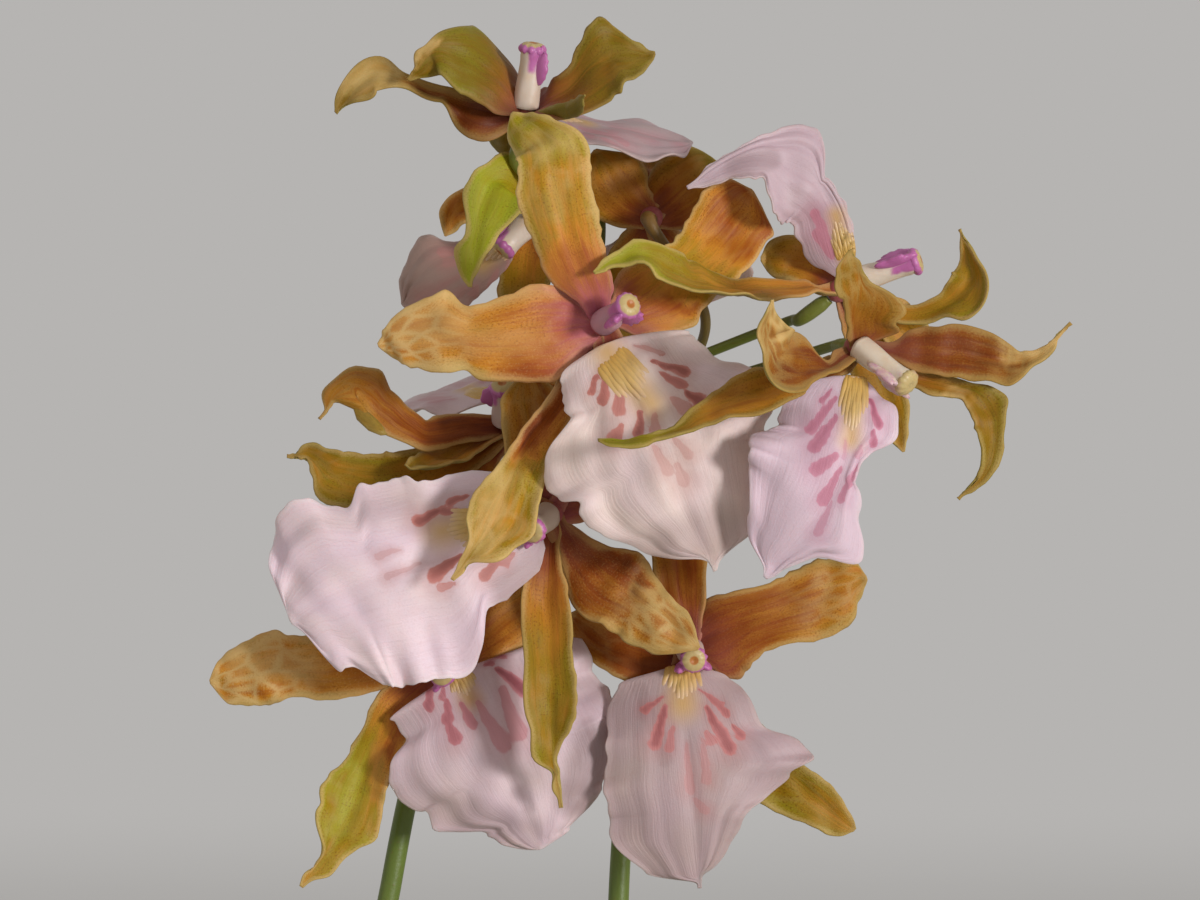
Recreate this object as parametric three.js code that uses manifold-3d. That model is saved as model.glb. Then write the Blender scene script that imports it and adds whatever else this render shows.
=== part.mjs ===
// A potted Miltonia orchid with ten open blooms on two stalks. Millimetres, +Z up.
// X runs to the right of the front view, -Y faces the viewer, and the pot stands on Z = 0.
import * as THREE from "three";
import { mergeVertices } from "three/addons/utils/BufferGeometryUtils.js";
import Module from "manifold-3d";

const wasm = await Module();
wasm.setup();

// Pot
const POT_HEIGHT = 112;
const POT_RADIUS = 68;
const POT_BASE_RADIUS = 45;
const POT_WALL = 5.5;
const POT_FLOOR = 8;
const RIM_HEIGHT = 20;
const RIM_STEP = 4;
const POT_SIDES = 32;
const DRAIN_COUNT = 4;
const DRAIN_RADIUS = 5;
const DRAIN_AT = 25;

// Growing medium
const MEDIUM_EDGE_Z = 96;
const MEDIUM_MIDDLE_Z = 100;
const CHIP_COUNT = 24;
const CHIP_SEED = 11;

// Bulbs, rhizome and leaves
const BULB_HEIGHT = 72;
const BULB_RADIUS = 15;
const BULB_FLATNESS = 0.6;
const BULB_SIDES = 10;
const BULB_FOOT_Z = 103;
const RHIZOME_RADIUS = 4.5;
const RHIZOME_Z = 103;
const LEAF_THICK = 1;
const LEAF_ROWS = 8;

// Stalks
const SCAPE_RADIUS = 2.3;
const PEDICEL_RADIUS = 1.25;
const SCAPE_FOOT_Z = 90;

// Blooms
const HEAD_Z = 480;
const BOSS_RADIUS = 3.2;
const BOSS_BACK = 2.5;
const TEPAL_THICK = 1;
const TEPAL_ROWS = 6;
const HEART_ROOM = 10.5;
const LIP_THICK = 0.9;
const TIP_HALF = 0.4;
const SIDE_SHIFT = 1.9;
const COLUMN_RADIUS = 2.9;
const COLUMN_SIDES = 7;

const FIT_GAP = 0.3;
const SMOOTH = 0.05;

const FINISH = {
  tepal: { color: 0xb8782e, roughness: 0.55, metalness: 0 },
  lip: { color: 0xe2ccd6, roughness: 0.6, metalness: 0 },
  column: { color: 0xefe2cf, roughness: 0.5, metalness: 0 },
  stalk: { color: 0x4f6d1c, roughness: 0.6, metalness: 0 },
  bulb: { color: 0x8f9c3c, roughness: 0.5, metalness: 0 },
  leaf: { color: 0x6c8b2e, roughness: 0.5, metalness: 0 },
  rhizome: { color: 0x7a6a3c, roughness: 0.7, metalness: 0 },
  bark: { color: 0x5d4030, roughness: 0.9, metalness: 0 },
  terracotta: { color: 0xb4653f, roughness: 0.85, metalness: 0 },
};

// Outlines of sepals and petals: place along the blade, then the half-width share on each side.
const OUTLINES = {
  sepal: [[0, 0.4, 0.4], [0.16, 0.6, 0.58], [0.38, 0.92, 0.9], [0.6, 1, 1], [0.8, 0.78, 0.74],
    [0.93, 0.36, 0.34], [1, 0.05, 0.05]],
  petal: [[0, 0.38, 0.4], [0.18, 0.82, 0.8], [0.4, 0.96, 1], [0.62, 1, 0.9], [0.8, 0.82, 0.84],
    [0.93, 0.5, 0.52], [1, 0.08, 0.08]],
  blunt: [[0, 0.36, 0.36], [0.2, 0.6, 0.64], [0.42, 0.92, 0.9], [0.62, 1, 0.98], [0.8, 0.98, 1],
    [0.93, 0.76, 0.8], [1, 0.14, 0.14]],
  wedge: [[0, 0.4, 0.4], [0.2, 0.72, 0.7], [0.42, 1, 1], [0.6, 0.86, 0.9], [0.78, 0.56, 0.6],
    [0.92, 0.26, 0.26], [1, 0.05, 0.05]],
};

// Each bloom: its heart from the head's middle, the way it faces, its column's tip, its five
// blades and its lip. Paths run from the heart; a lip's outline is in mm on each side.
const BLOOMS = {
  front: {
    heart: [0.6, -18, 25],
    facing: [0.15, -1, 0.05],
    column: [5.2, -9.5, 3.4],
    tepals: [
      { kind: "blunt", wide: 16.4, cup: -0.12, wave: [0.8, 1.5, 0.4],
        path: [[-3, -1, 11], [-8.4, -3, 26], [-11, 1, 39], [-10.6, 9, 42]] },
      { kind: "petal", wide: 18, cup: -0.12, wave: [1.6, 2.2, 2.6],
        path: [[-12, -2, -1.4], [-27, -3, -2.2], [-40, 0, -2.2], [-45.2, 2, -3.6]] },
      { kind: "petal", wide: 20, cup: 0.1, wave: [1.2, 2, 1],
        path: [[10.6, 8, 7], [21.8, 17, 16.6], [31.4, 24, 26.4]] },
      { kind: "sepal", wide: 15.6, cup: 0.16, wave: [0.8, 1.6, 0.6],
        path: [[-9, 2, -17], [-16.6, -2, -28.6], [-20.8, -9, -40], [-29.4, -13, -51.2]],
        face: [[0.3, -1, 0], [0.1, -1, 0], [-0.3, -1, 0.2]] },
      { kind: "sepal", wide: 13, cup: 0.2, wave: [0.6, 1.6, 0],
        path: [[5, 2, -13], [12, 1, -25], [18, 2, -36]] },
    ],
    lip: {
      path: [[1.8, -2.6, -3.4], [7.4, -8, -16], [15, -11.5, -32], [22.4, -9, -48.4]],
      face: [[0.05, -1, 0.1], [0.1, -1, 0], [0.1, -1, -0.1]],
      outline: [[0, 5, 5], [0.05, 12, 12], [0.12, 14, 16.4], [0.22, 14.8, 20.4], [0.3, 21, 23.4],
        [0.4, 23.6, 23.4], [0.5, 21.6, 22], [0.62, 19.8, 20.4], [0.76, 15.6, 18], [0.88, 9, 14.4],
        [0.96, 2, 8.6], [1, 0.4, 0.4]],
      cup: -0.2, wave: [1.5, 4, 0.5], rows: 12,
    },
  },
  left: {
    heart: [-10.4, -12, -13],
    facing: [-0.35, -1, -0.1],
    column: [-3, -9, -3],
    tepals: [
      { kind: "petal", wide: 17.6, cup: -0.1, wave: [1.2, 2.2, 0.4],
        path: [[10.4, -1, -11.4], [20, -4, -20], [29.8, -5, -26.4]] },
      { kind: "sepal", wide: 12, cup: 0.4, wave: [0.6, 2, 0.3],
        path: [[3.4, -1, -14], [1.4, -6, -32], [-0.2, -6, -47], [1.6, -4, -58.2]] },
      { kind: "sepal", wide: 14, cup: 0.15, wave: [0.6, 1.8, 0],
        path: [[10, 3, 5], [21, 5, 10], [31, 7, 13]] },
      { kind: "petal", wide: 14, cup: 0.1, wave: [0.8, 2, 0],
        path: [[-1, 3, 10], [-3, 4, 20], [-4, 5, 28]] },
      { kind: "sepal", wide: 12, cup: 0.15, wave: [0.6, 1.8, 0],
        path: [[-10, 3, 2], [-22, 4, 1], [-34, 5, -3]] },
    ],
    lip: {
      path: [[-1.6, -2.6, -3], [-18.6, -7, -6], [-37.6, -9, -10], [-55.6, -6, -11.4]],
      face: [[-0.1, -1, 0.05], [-0.15, -1, 0.1], [-0.35, -1, 0.1]],
      outline: [[0, 5, 4.4], [0.08, 11, 11], [0.19, 13.4, 17], [0.27, 13.8, 22], [0.36, 14, 26.4],
        [0.48, 14.6, 26.8], [0.58, 14.2, 26], [0.655, 10.4, 23.5], [0.75, 12.8, 19.5],
        [0.86, 13.9, 14.5], [0.95, 9.5, 9], [1, 0.5, 0.5]],
      cup: -0.15, wave: [1.6, 4.5, 0], rows: 12,
    },
  },
  low_left: {
    heart: [-30.4, -2, -42.4],
    facing: [-0.1, -1, -0.15],
    column: [-1, -9, -2],
    tepals: [
      { kind: "petal", wide: 14.6, cup: -0.1, wave: [1, 2.2, 0.6],
        path: [[-10, 0, -2.4], [-24, -1, -2.6], [-38, -2, -1.2], [-47.2, 0, -4]] },
      { kind: "sepal", wide: 15, cup: 0.2, wave: [1, 2, 0.4],
        path: [[-10, 2, -9], [-16, 3, -20], [-19.6, 1, -31], [-29.2, -2, -45]],
        face: [[0, -1, 0], [-0.15, -1, 0], [0.3, -1, 0]] },
      { kind: "sepal", wide: 13, cup: 0.12, wave: [0.6, 1.6, 0],
        path: [[1, 1, 12], [2, 3, 24], [2, 6, 34]] },
      { kind: "petal", wide: 14, cup: 0.1, wave: [0.8, 2, 0],
        path: [[7, 3, 6], [15, 6, 12], [25, 9, 18]] },
      { kind: "sepal", wide: 12, cup: 0.15, wave: [0.6, 1.6, 0],
        path: [[7, 3, -12], [14, 4, -23], [18, 5, -32]] },
    ],
    lip: {
      path: [[1.8, -2.6, -2.4], [8.4, -5.6, -15.6], [14.6, -7, -28.6], [19, -6, -37.6]],
      face: [[0.05, -1, 0.1], [0, -1, 0], [0, -1, -0.1]],
      outline: [[0, 6, 7], [0.05, 13, 17], [0.12, 15, 24], [0.23, 15.6, 26], [0.33, 20, 26.6],
        [0.46, 22, 26.4], [0.58, 18.6, 26], [0.7, 16.2, 23.5], [0.8, 9.4, 20.5], [0.9, 5, 16],
        [0.97, 1.5, 8], [1, 0.4, 0.4]],
      cup: -0.22, wave: [1.4, 4, 1], rows: 12,
    },
  },
  low_right: {
    heart: [18, -2, -40],
    facing: [0.05, -1, -0.15],
    column: [0.6, -9, -1.6],
    tepals: [
      { kind: "petal", wide: 16.4, cup: -0.1, wave: [1, 2.2, 0.2],
        path: [[7, 0, 2.8], [18, 0, 7.6], [29, 1, 11], [35.2, 2, 14.4]] },
      { kind: "petal", wide: 14, cup: 0.1, wave: [0.8, 2, 0],
        path: [[-7, 2, -0.6], [-15, 3, 2], [-24, 4, 7]] },
      { kind: "sepal", wide: 11, cup: 0.2, wave: [0.5, 1.6, 0],
        path: [[-1.5, 2, 11], [-2.6, 5, 24], [-3, 9, 36]] },
      { kind: "sepal", wide: 12, cup: 0.16, wave: [0.6, 1.8, 0.3],
        path: [[6, 2, -12], [15, 2, -24], [24, 2, -31], [33, 0, -36.2]] },
      { kind: "sepal", wide: 12, cup: 0.15, wave: [0.6, 1.6, 0],
        path: [[-3, 3, -12], [-5, 5, -23], [-5, 5, -34]] },
    ],
    lip: {
      path: [[-2, -3.4, -4], [-0.4, -9.5, -18], [1, -11, -33], [1.6, -8, -47.2]],
      face: [[0, -1, 0.1], [0, -1, 0], [0, -1, -0.15]],
      outline: [[0, 4, 3.6], [0.05, 10.5, 9.5], [0.1, 13.5, 12.3], [0.2, 15.2, 14.2],
        [0.27, 15.8, 15.6], [0.33, 16.2, 21], [0.42, 16.8, 25], [0.5, 17, 22], [0.57, 16.8, 17],
        [0.67, 16.4, 14.2], [0.78, 15.9, 10.4], [0.88, 10.5, 6.5], [0.95, 4.6, 3], [1, 0.4, 0.4]],
      cup: -0.14, wave: [1.3, 4, 0.2], rows: 13,
    },
  },
  mid_left: {
    heart: [-19, 10, 6],
    facing: [-0.6, -0.5, 0.5],
    column: [-0.6, -6, 7],
    tepals: [
      { kind: "wedge", wide: 11, cup: -0.2, wave: [0.6, 1.6, 0],
        path: [[-6, -3, -1.4], [-15, -6, 0], [-24, -8, 5.6], [-31, -9, 7.4], [-37, -10, 1.6]],
        face: [[0.1, -1, 0.2], [0.2, -0.7, 0.7], [-0.4, -0.8, 0.5]] },
      { kind: "sepal", wide: 11.6, cup: 0.2, wave: [0.9, 2, 0],
        path: [[-11, 0, -7], [-24, -2, -12], [-35, -2, -11], [-43, 0, -6]] },
      { kind: "sepal", wide: 8, cup: 0.2, wave: [0.4, 1.6, 0],
        path: [[-7, -1, -5.4], [-14, -6, -8.4], [-20, -10, -9]],
        face: [[0, -0.6, 1]] },
      { kind: "sepal", wide: 12, cup: 0.15, wave: [0.6, 1.6, 0],
        path: [[-6, 1, -8], [-8, 3, -17], [-10, 4, -25]] },
      { kind: "petal", wide: 13, cup: 0.1, wave: [0.6, 1.8, 0],
        path: [[7, 4, 2], [15, 7, 0], [23, 11, -5]] },
    ],
    lip: {
      path: [[-2.4, 2, 4.4], [-8, 11, 6.4], [-14, 22, 6.6], [-19, 33, 3]],
      face: [[-0.2, -0.3, 1]],
      outline: [[0, 3, 3], [0.1, 9, 9], [0.25, 12, 12], [0.4, 17, 17], [0.6, 19, 19], [0.8, 15, 15],
        [0.93, 8, 8], [1, 0.4, 0.4]],
      cup: -0.12, wave: [1.2, 3, 0], rows: 8,
    },
  },
  right: {
    heart: [51, -24, 20],
    facing: [0.3, -1, -0.05],
    column: [9.4, -7.5, -7.4],
    tepals: [
      { kind: "sepal", wide: 12, cup: 0.2, wave: [0.7, 1.8, 0.4],
        path: [[10, 1, 0.6], [22, 1, -0.8], [33, 1, -3.8], [43, 2, 4.8]],
        face: [[0, -1, 0.3], [0, -1, 0.3], [0.4, -1, 0.6]] },
      { kind: "petal", wide: 12, cup: 0.3, wave: [0.8, 1.6, 0],
        path: [[-7, -7, -3], [-14, -15, -1.6], [-17.6, -22, 8]],
        face: [[0.2, -0.6, 0.8], [0.4, -0.7, 0.6], [0.7, -0.7, 0]] },
      { kind: "petal", wide: 11, cup: 0.25, wave: [0.6, 1.6, 0],
        path: [[4, -2, 6.4], [6, -6, 12], [0, -12, 19.4]],
        face: [[0.3, -1, 0.3], [0.4, -1, 0.5]] },
      { kind: "sepal", wide: 8.6, cup: 0.25, wave: [0.5, 1.6, 0],
        path: [[11, 2, -4.6], [24, 2, -8.6], [28, 1, -19], [21.6, 0, -29.4]],
        face: [[0, -1, 0.3], [0.3, -1, 0.3], [0.2, -1, 0]] },
      { kind: "wedge", wide: 9, cup: 0.2, wave: [0.5, 1.6, 0],
        path: [[-7, -1, -4.4], [-17, -7, -7.6], [-31, -13, -13], [-51, -17, -18]],
        face: [[0, -1, 0.5], [0, -1, 0.5], [0, -0.8, 0.8]] },
    ],
    lip: {
      path: [[0.6, -2.6, -5.4], [-2, -7, -18], [-6.6, -9, -32], [-13.4, -8, -45.4]],
      face: [[0.05, -1, 0.1], [-0.1, -1, 0], [-0.1, -1, -0.1]],
      outline: [[0, 3, 4], [0.05, 6.4, 8.4], [0.16, 9.6, 12.4], [0.27, 11.4, 10.6], [0.36, 14, 8],
        [0.45, 16.4, 7], [0.62, 14.4, 9.8], [0.76, 13, 12.6], [0.82, 12.4, 12.8], [0.88, 11.2, 8],
        [0.95, 8.6, 4], [1, 2, 0.4]],
      cup: -0.24, wave: [1.2, 4, 0.8], rows: 12,
    },
  },
  high_right: {
    heart: [50.4, 2, 33.6],
    facing: [0.7, -0.3, 0.5],
    column: [13.6, -2.4, 4.4],
    tepals: [
      { kind: "wedge", wide: 9.6, cup: 0.2, wave: [0.6, 1.8, 0],
        path: [[-10.4, -6, -1], [-22.4, -13, -1], [-34.4, -20, 2.8], [-42.4, -24, 5], [-50.8, -27, 2.4]],
        face: [[0, -0.6, 1], [0, -0.6, 1], [0, -0.9, 0.6]] },
      { kind: "sepal", wide: 9, cup: 0.3, wave: [0.5, 1.6, 0],
        path: [[9.6, 2, -6.4], [19.6, 0, -4.6], [24.6, 0, 0.4], [22.2, 2, 9.6]],
        face: [[0, -1, 0.3], [-0.5, -1, 0.5], [-1, -1, 0]] },
      { kind: "sepal", wide: 10, cup: 0.15, wave: [0.6, 1.8, 0],
        path: [[2.6, 8, -10], [7, 11, -22], [11, 11, -34]] },
      { kind: "petal", wide: 9, cup: 0.15, wave: [0.6, 1.8, 0],
        path: [[8, 6, -7], [15, 8, -14.6], [21, 8, -23]] },
      { kind: "petal", wide: 10, cup: 0.15, wave: [0.6, 1.8, 0],
        path: [[-6, 4, 3], [-12, 6, 5], [-18, 8, 5]] },
    ],
    lip: {
      path: [[-0.6, -0.6, 1.2], [-5, -3.6, 14], [-12, -6, 25.6], [-22, -9, 26], [-32.4, -10, 19]],
      face: [[-0.2, -1, 0.2], [-0.1, -1, 0.3], [0, -1, 0.4]],
      outline: [[0, 3, 3], [0.08, 4.4, 6.4], [0.2, 5.6, 9.4], [0.33, 6.2, 11], [0.45, 6.2, 9.6],
        [0.55, 5.8, 7.6], [0.68, 5, 6.8], [0.8, 3.6, 5.6], [0.92, 2, 3], [1, 0.4, 0.4]],
      cup: -0.2, wave: [1, 3, 0.4], rows: 10,
    },
  },
  top: {
    heart: [-15, 8, 69],
    facing: [0.1, -0.5, 1],
    column: [1.6, -3, 12.4],
    tepals: [
      { kind: "petal", wide: 12.6, cup: -0.2, wave: [1, 1.8, 0],
        path: [[-5, -3, 4.4], [-12.6, -6, 10.4], [-20, -8, 13], [-24.6, -7, 10]],
        face: [[0, -0.5, 1], [0.2, -1, 0.6], [0.2, -1, 0]] },
      { kind: "sepal", wide: 11, cup: 0.2, wave: [0.6, 1.8, 0],
        path: [[-7, -1, -3.4], [-16, -1, 0.4], [-25, -1, 5.4], [-32, -1, 6.6], [-37.8, 0, -1]],
        face: [[0, -1, 0], [0, -1, 0.3], [-0.2, -1, 0.3]] },
      { kind: "petal", wide: 13.6, cup: 0.2, wave: [1, 1.8, 0],
        path: [[5.4, -2, 1.4], [12.6, -3, 6.6], [18, -3, 12.6], [24.6, -1, 11]],
        face: [[0, -0.5, 1], [-0.2, -1, 0.6], [0.3, -1, 0.5]] },
      { kind: "sepal", wide: 6.4, cup: 0.3, wave: [0.3, 1.6, 0],
        path: [[6, -7, -1.6], [10, -15, -1], [12, -24, 1]], face: [[1, 0, 0.4]] },
      { kind: "sepal", wide: 11, cup: 0.15, wave: [0.6, 1.8, 0],
        path: [[-2, 8, -1], [-4, 19, -3], [-5, 29, -8]], face: [[0, 0.3, 1]] },
    ],
    lip: {
      path: [[2.2, 0.6, -0.6], [12, 3.6, -3.4], [23.4, 7, -4.8], [33.8, 9, -6.6]],
      face: [[0, -0.35, 1]],
      outline: [[0, 3, 3], [0.12, 8, 8], [0.28, 10, 10], [0.42, 13, 13], [0.62, 14, 14], [0.8, 12, 12],
        [0.93, 7, 7], [1, 0.6, 0.6]],
      cup: -0.12, wave: [1, 3, 0], rows: 8,
    },
  },
  back_left: {
    heart: [-13.6, 20, 47],
    facing: [-0.8, -0.2, -0.3],
    column: [-6.4, -1.6, -6.4],
    tepals: [
      { kind: "sepal", wide: 14, cup: 0.25, wave: [0.8, 1.8, 0],
        path: [[-5, -7, 6.4], [-11, -10, 1], [-13.4, -11, -13.6]],
        face: [[-0.3, -1, 0.6], [-0.5, -1, 0.3], [-0.2, -1, 0]] },
      { kind: "sepal", wide: 10, cup: 0.2, wave: [0.6, 1.8, 0],
        path: [[-2, 6, 6], [-4, 14, 9], [-6, 22, 9]], face: [[0, -0.4, 1]] },
      { kind: "sepal", wide: 7, cup: 0.2, wave: [0.4, 1.6, 0],
        path: [[-8, 2, 4], [-15, 3, 2], [-18, 3, -3.4]] },
      { kind: "petal", wide: 11, cup: 0.15, wave: [0.6, 1.8, 0],
        path: [[3, 6, 3], [5, 13, 3], [6, 20, 0]], face: [[0.6, 0, 1]] },
      { kind: "petal", wide: 11, cup: 0.15, wave: [0.6, 1.8, 0],
        path: [[-1, 5, -7], [-2, 9, -15], [-3, 12, -23]] },
    ],
    lip: {
      path: [[-5, 3, -3], [-13, 5, -7], [-19.6, 4, -11.4], [-26, 2, -16.4]],
      face: [[-0.3, -1, 0.5], [-0.4, -1, 0.3], [-0.5, -1, 0.2]],
      outline: [[0, 3, 3], [0.12, 5, 5], [0.3, 6, 6], [0.5, 8, 8], [0.7, 8, 8], [0.86, 6.4, 6.4],
        [0.95, 3.6, 3.6], [1, 0.5, 0.5]],
      cup: -0.2, wave: [0.8, 3, 0], rows: 8,
    },
  },
  back_right: {
    heart: [10.4, 20, 47.6],
    facing: [0, 1, 0.2],
    column: [0.6, 11, 3],
    tepals: [
      { kind: "sepal", wide: 11, cup: -0.2, wave: [0.6, 1.8, 0],
        path: [[-5, -3, 3], [-9, -4, 8], [-11.4, -2, 13.4]] },
      { kind: "petal", wide: 10, cup: -0.2, wave: [0.6, 1.8, 0],
        path: [[5, -1, 4], [10, -1, 8], [14, 1, 10.4]] },
      { kind: "petal", wide: 10, cup: -0.15, wave: [0.6, 1.8, 0],
        path: [[0, 2, 6], [0, 5, 10], [1, 10, 13]], face: [[0, -1, 1]] },
      { kind: "sepal", wide: 10, cup: -0.15, wave: [0.6, 1.8, 0],
        path: [[-4, 3, -8], [-5, 5, -17], [-5, 6, -26]] },
      { kind: "sepal", wide: 10, cup: -0.15, wave: [0.6, 1.8, 0],
        path: [[4, 3, -7], [6, 4, -14], [7, 5, -21]] },
    ],
    lip: {
      path: [[0, 4, -2], [1, 12, -5], [2, 20, -11], [2, 27, -19]],
      face: [[0, 0.8, 0.6]],
      outline: [[0, 3, 3], [0.12, 9, 9], [0.28, 12, 12], [0.42, 17, 17], [0.62, 19, 19],
        [0.8, 15, 15], [0.93, 8, 8], [1, 0.6, 0.6]],
      cup: -0.15, wave: [1.2, 3, 0], rows: 8,
    },
  },
};

// Each stalk: its line from the medium into the head, and for each bloom the place along the
// line (0 to 1) where its pedicel leaves, with one point on the way.
const SCAPES = {
  left: {
    line: [[-24.5, 9, SCAPE_FOOT_Z], [-26, 10, 150], [-42, 12, 250], [-50, 10, 340], [-42, 9, 393],
      [-35, 11, 425], [-25, 19, 455], [-10, 24, 485], [-3, 26, 508]],
    pedicels: {
      low_left: { leaves: 0.6, via: [-35, 10, 431] },
      left: { leaves: 0.72, via: [-15, 8, 465] },
      mid_left: { leaves: 0.84, via: [-11, 21, 480] },
      back_left: { leaves: 0.99, via: [0, 25, 522] },
      top: { leaves: 0.98, via: [-4, 12, 528] },
    },
  },
  right: {
    line: [[21.5, 9, SCAPE_FOOT_Z], [20, 11, 160], [12, 15, 260], [4, 13, 350], [5, 14, 410],
      [12, 20, 450], [17, 26, 480], [19, 28, 500]],
    pedicels: {
      low_right: { leaves: 0.68, via: [16, 8, 438] },
      front: { leaves: 0.8, via: [5, 2, 498] },
      right: { leaves: 0.94, via: [44, -4, 500] },
      high_right: { leaves: 0.99, via: [38, 16, 506] },
      back_right: { leaves: 0.97, via: [21, 11, 508] },
    },
  },
};

// Bulbs along the rhizome, oldest first: foot and turn about Z in degrees.
const RHIZOME = [[-45, -6], [-30, 0], [-10, -3], [12, -4], [32, 0], [44, 6]];
const BULBS = [
  { name: "bulb_1", at: [-37, -3], turn: 72, tall: 0.84 },
  { name: "bulb_2", at: [-13, -4], turn: 98, tall: 0.95 },
  { name: "bulb_3", at: [10, -5], turn: 84, tall: 1.06 },
  { name: "bulb_4", at: [33, -1], turn: 104, tall: 1 },
];

// Leaves: foot, heading in degrees about Z, length, width, and reach and rise shares of the length.
const LEAVES = [
  { bulb: 0, heading: 195, long: 225, wide: 23, reach: 0.62, rise: 0.66 },
  { bulb: 1, heading: 238, long: 255, wide: 25, reach: 0.58, rise: 0.7 },
  { bulb: 1, heading: 84, long: 265, wide: 24, reach: 0.56, rise: 0.72 },
  { bulb: 2, heading: 272, long: 270, wide: 26, reach: 0.58, rise: 0.7 },
  { bulb: 3, heading: 308, long: 260, wide: 25, reach: 0.6, rise: 0.68 },
  { bulb: 3, heading: 58, long: 265, wide: 25, reach: 0.6, rise: 0.68 },
  { foot: [-49, 9], heading: 168, long: 190, wide: 20, reach: 0.66, rise: 0.62 },
  { foot: [-34, 30], heading: 130, long: 205, wide: 21, reach: 0.62, rise: 0.66 },
  { foot: [22, 34], heading: 70, long: 200, wide: 20, reach: 0.6, rise: 0.68 },
  { foot: [-28, -30], heading: 222, long: 190, wide: 20, reach: 0.66, rise: 0.6 },
  { foot: [24, -32], heading: 292, long: 195, wide: 20, reach: 0.64, rise: 0.64 },
  { foot: [49, -8], heading: 352, long: 200, wide: 21, reach: 0.62, rise: 0.68 },
];
const LEAF_OUTLINE = [[0, 0.24, 0.24], [0.1, 0.42, 0.42], [0.25, 0.8, 0.8], [0.45, 1, 1],
  [0.7, 0.94, 0.94], [0.88, 0.6, 0.6], [1, 0.06, 0.06]];
const LEAF_FOLD = -0.42;
const LEAF_FOOT_Z = 92;
const LEAF_HOLE_RADIUS = 4.6;

function vector(p) {
  return new THREE.Vector3(...p);
}

function curve(points) {
  return new THREE.CatmullRomCurve3(points.map(vector), false, "catmullrom", 0.5);
}

function clamp(x) {
  return Math.min(Math.max(x, 0), 1);
}

// A geometry as a solid that can be joined and cut.
function solid(geometry) {
  const bare = geometry.clone();
  bare.deleteAttribute("normal");
  bare.deleteAttribute("uv");
  const merged = mergeVertices(bare, 1e-4);
  const mesh = new wasm.Mesh({
    numProp: 3,
    vertProperties: new Float32Array(merged.attributes.position.array),
    triVerts: new Uint32Array(merged.index.array),
  });
  return new wasm.Manifold(mesh);
}

function join(solids) {
  return solids.reduce((a, b) => a.add(b));
}

// The largest body of a solid, which drops crumbs left by a cut.
function mainBody(made) {
  const bodies = made.decompose();
  return bodies.reduce((a, b) => (a.volume() > b.volume() ? a : b));
}

// A solid as a named mesh.
function meshOf(name, made, finish) {
  const raw = made.getMesh();
  const count = raw.numVert;
  const positions = new Float32Array(count * 3);
  for (let i = 0; i < count; i++) {
    positions.set(raw.vertProperties.subarray(i * raw.numProp, i * raw.numProp + 3), i * 3);
  }
  const geometry = new THREE.BufferGeometry();
  geometry.setAttribute("position", new THREE.BufferAttribute(positions, 3));
  geometry.setIndex(new THREE.BufferAttribute(new Uint32Array(raw.triVerts), 1));
  geometry.computeVertexNormals();
  const mesh = new THREE.Mesh(geometry, new THREE.MeshStandardMaterial(finish));
  mesh.name = name;
  return mesh;
}

// The listed face directions, blended from the foot of a blade to its tip.
function faceAt(faces, t) {
  if (faces.length === 1) {
    return vector(faces[0]);
  }
  const place = t * (faces.length - 1);
  const low = Math.min(Math.floor(place), faces.length - 2);
  return vector(faces[low]).lerp(vector(faces[low + 1]), place - low);
}

// The middle surface of a blade: s runs from foot to tip, u from one edge (-1) to the other (1).
function bladeSurface(spec) {
  const path = curve(spec.path);
  const outline = curve(spec.outline);
  const widest = Math.max(...spec.outline.map((row) => Math.max(row[1], row[2])));
  const [waveHigh, waveCount, wavePhase] = spec.wave;
  return (s, u) => {
    const row = outline.getPoint(clamp(s));
    const t = clamp(row.x);
    const half = Math.max(u < 0 ? row.y : row.z, TIP_HALF);
    const along = path.getTangent(t);
    const normal = faceAt(spec.face, t);
    normal.addScaledVector(along, -normal.dot(along)).normalize();
    const across = new THREE.Vector3().crossVectors(normal, along);
    const turn = 2 * Math.PI * waveCount * s + wavePhase + (u > 0 ? SIDE_SHIFT : 0);
    const ripple = waveHigh * (half / widest) * Math.abs(u) ** 3 * Math.sin(turn);
    const lift = half * (spec.cup * u * u + (spec.fold || 0) * (1 - Math.abs(u))) + ripple;
    return path.getPoint(t).addScaledVector(across, half * u).addScaledVector(normal, lift);
  };
}

// A blade of even thickness over its middle surface, with the same triangles on both faces.
function blade(spec, thick, rows, columns) {
  const surface = bladeSurface(spec);
  const step = 1e-3;
  const positions = [];
  for (const side of [0.5, -0.5]) {
    for (let i = 0; i <= rows; i++) {
      for (let j = 0; j <= columns; j++) {
        const s = i / rows;
        const u = (2 * j) / columns - 1;
        const ds = surface(s + step, u).sub(surface(s - step, u));
        const du = surface(s, Math.min(u + step, 1)).sub(surface(s, Math.max(u - step, -1)));
        const normal = new THREE.Vector3().crossVectors(ds, du).normalize();
        const point = surface(s, u).addScaledVector(normal, side * thick);
        positions.push(point.x, point.y, point.z);
      }
    }
  }
  const across = columns + 1;
  const under = (rows + 1) * across;
  const index = [];
  const loop = [];
  for (let i = 0; i < rows; i++) {
    for (let j = 0; j < columns; j++) {
      const a = i * across + j;
      const b = a + across;
      index.push(a, b, b + 1, a, b + 1, a + 1);
      index.push(under + a, under + b + 1, under + b, under + a, under + a + 1, under + b + 1);
    }
  }
  for (let i = 0; i < rows; i++) {
    loop.push(i * across);
  }
  for (let j = 0; j < columns; j++) {
    loop.push(rows * across + j);
  }
  for (let i = rows; i > 0; i--) {
    loop.push(i * across + columns);
  }
  for (let j = columns; j > 0; j--) {
    loop.push(j);
  }
  loop.forEach((a, k) => {
    const b = loop[(k + 1) % loop.length];
    index.push(b, a, under + a, b, under + a, under + b);
  });
  const mesh = new wasm.Mesh({
    numProp: 3,
    vertProperties: new Float32Array(positions),
    triVerts: new Uint32Array(index),
  });
  return new wasm.Manifold(mesh);
}

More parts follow.
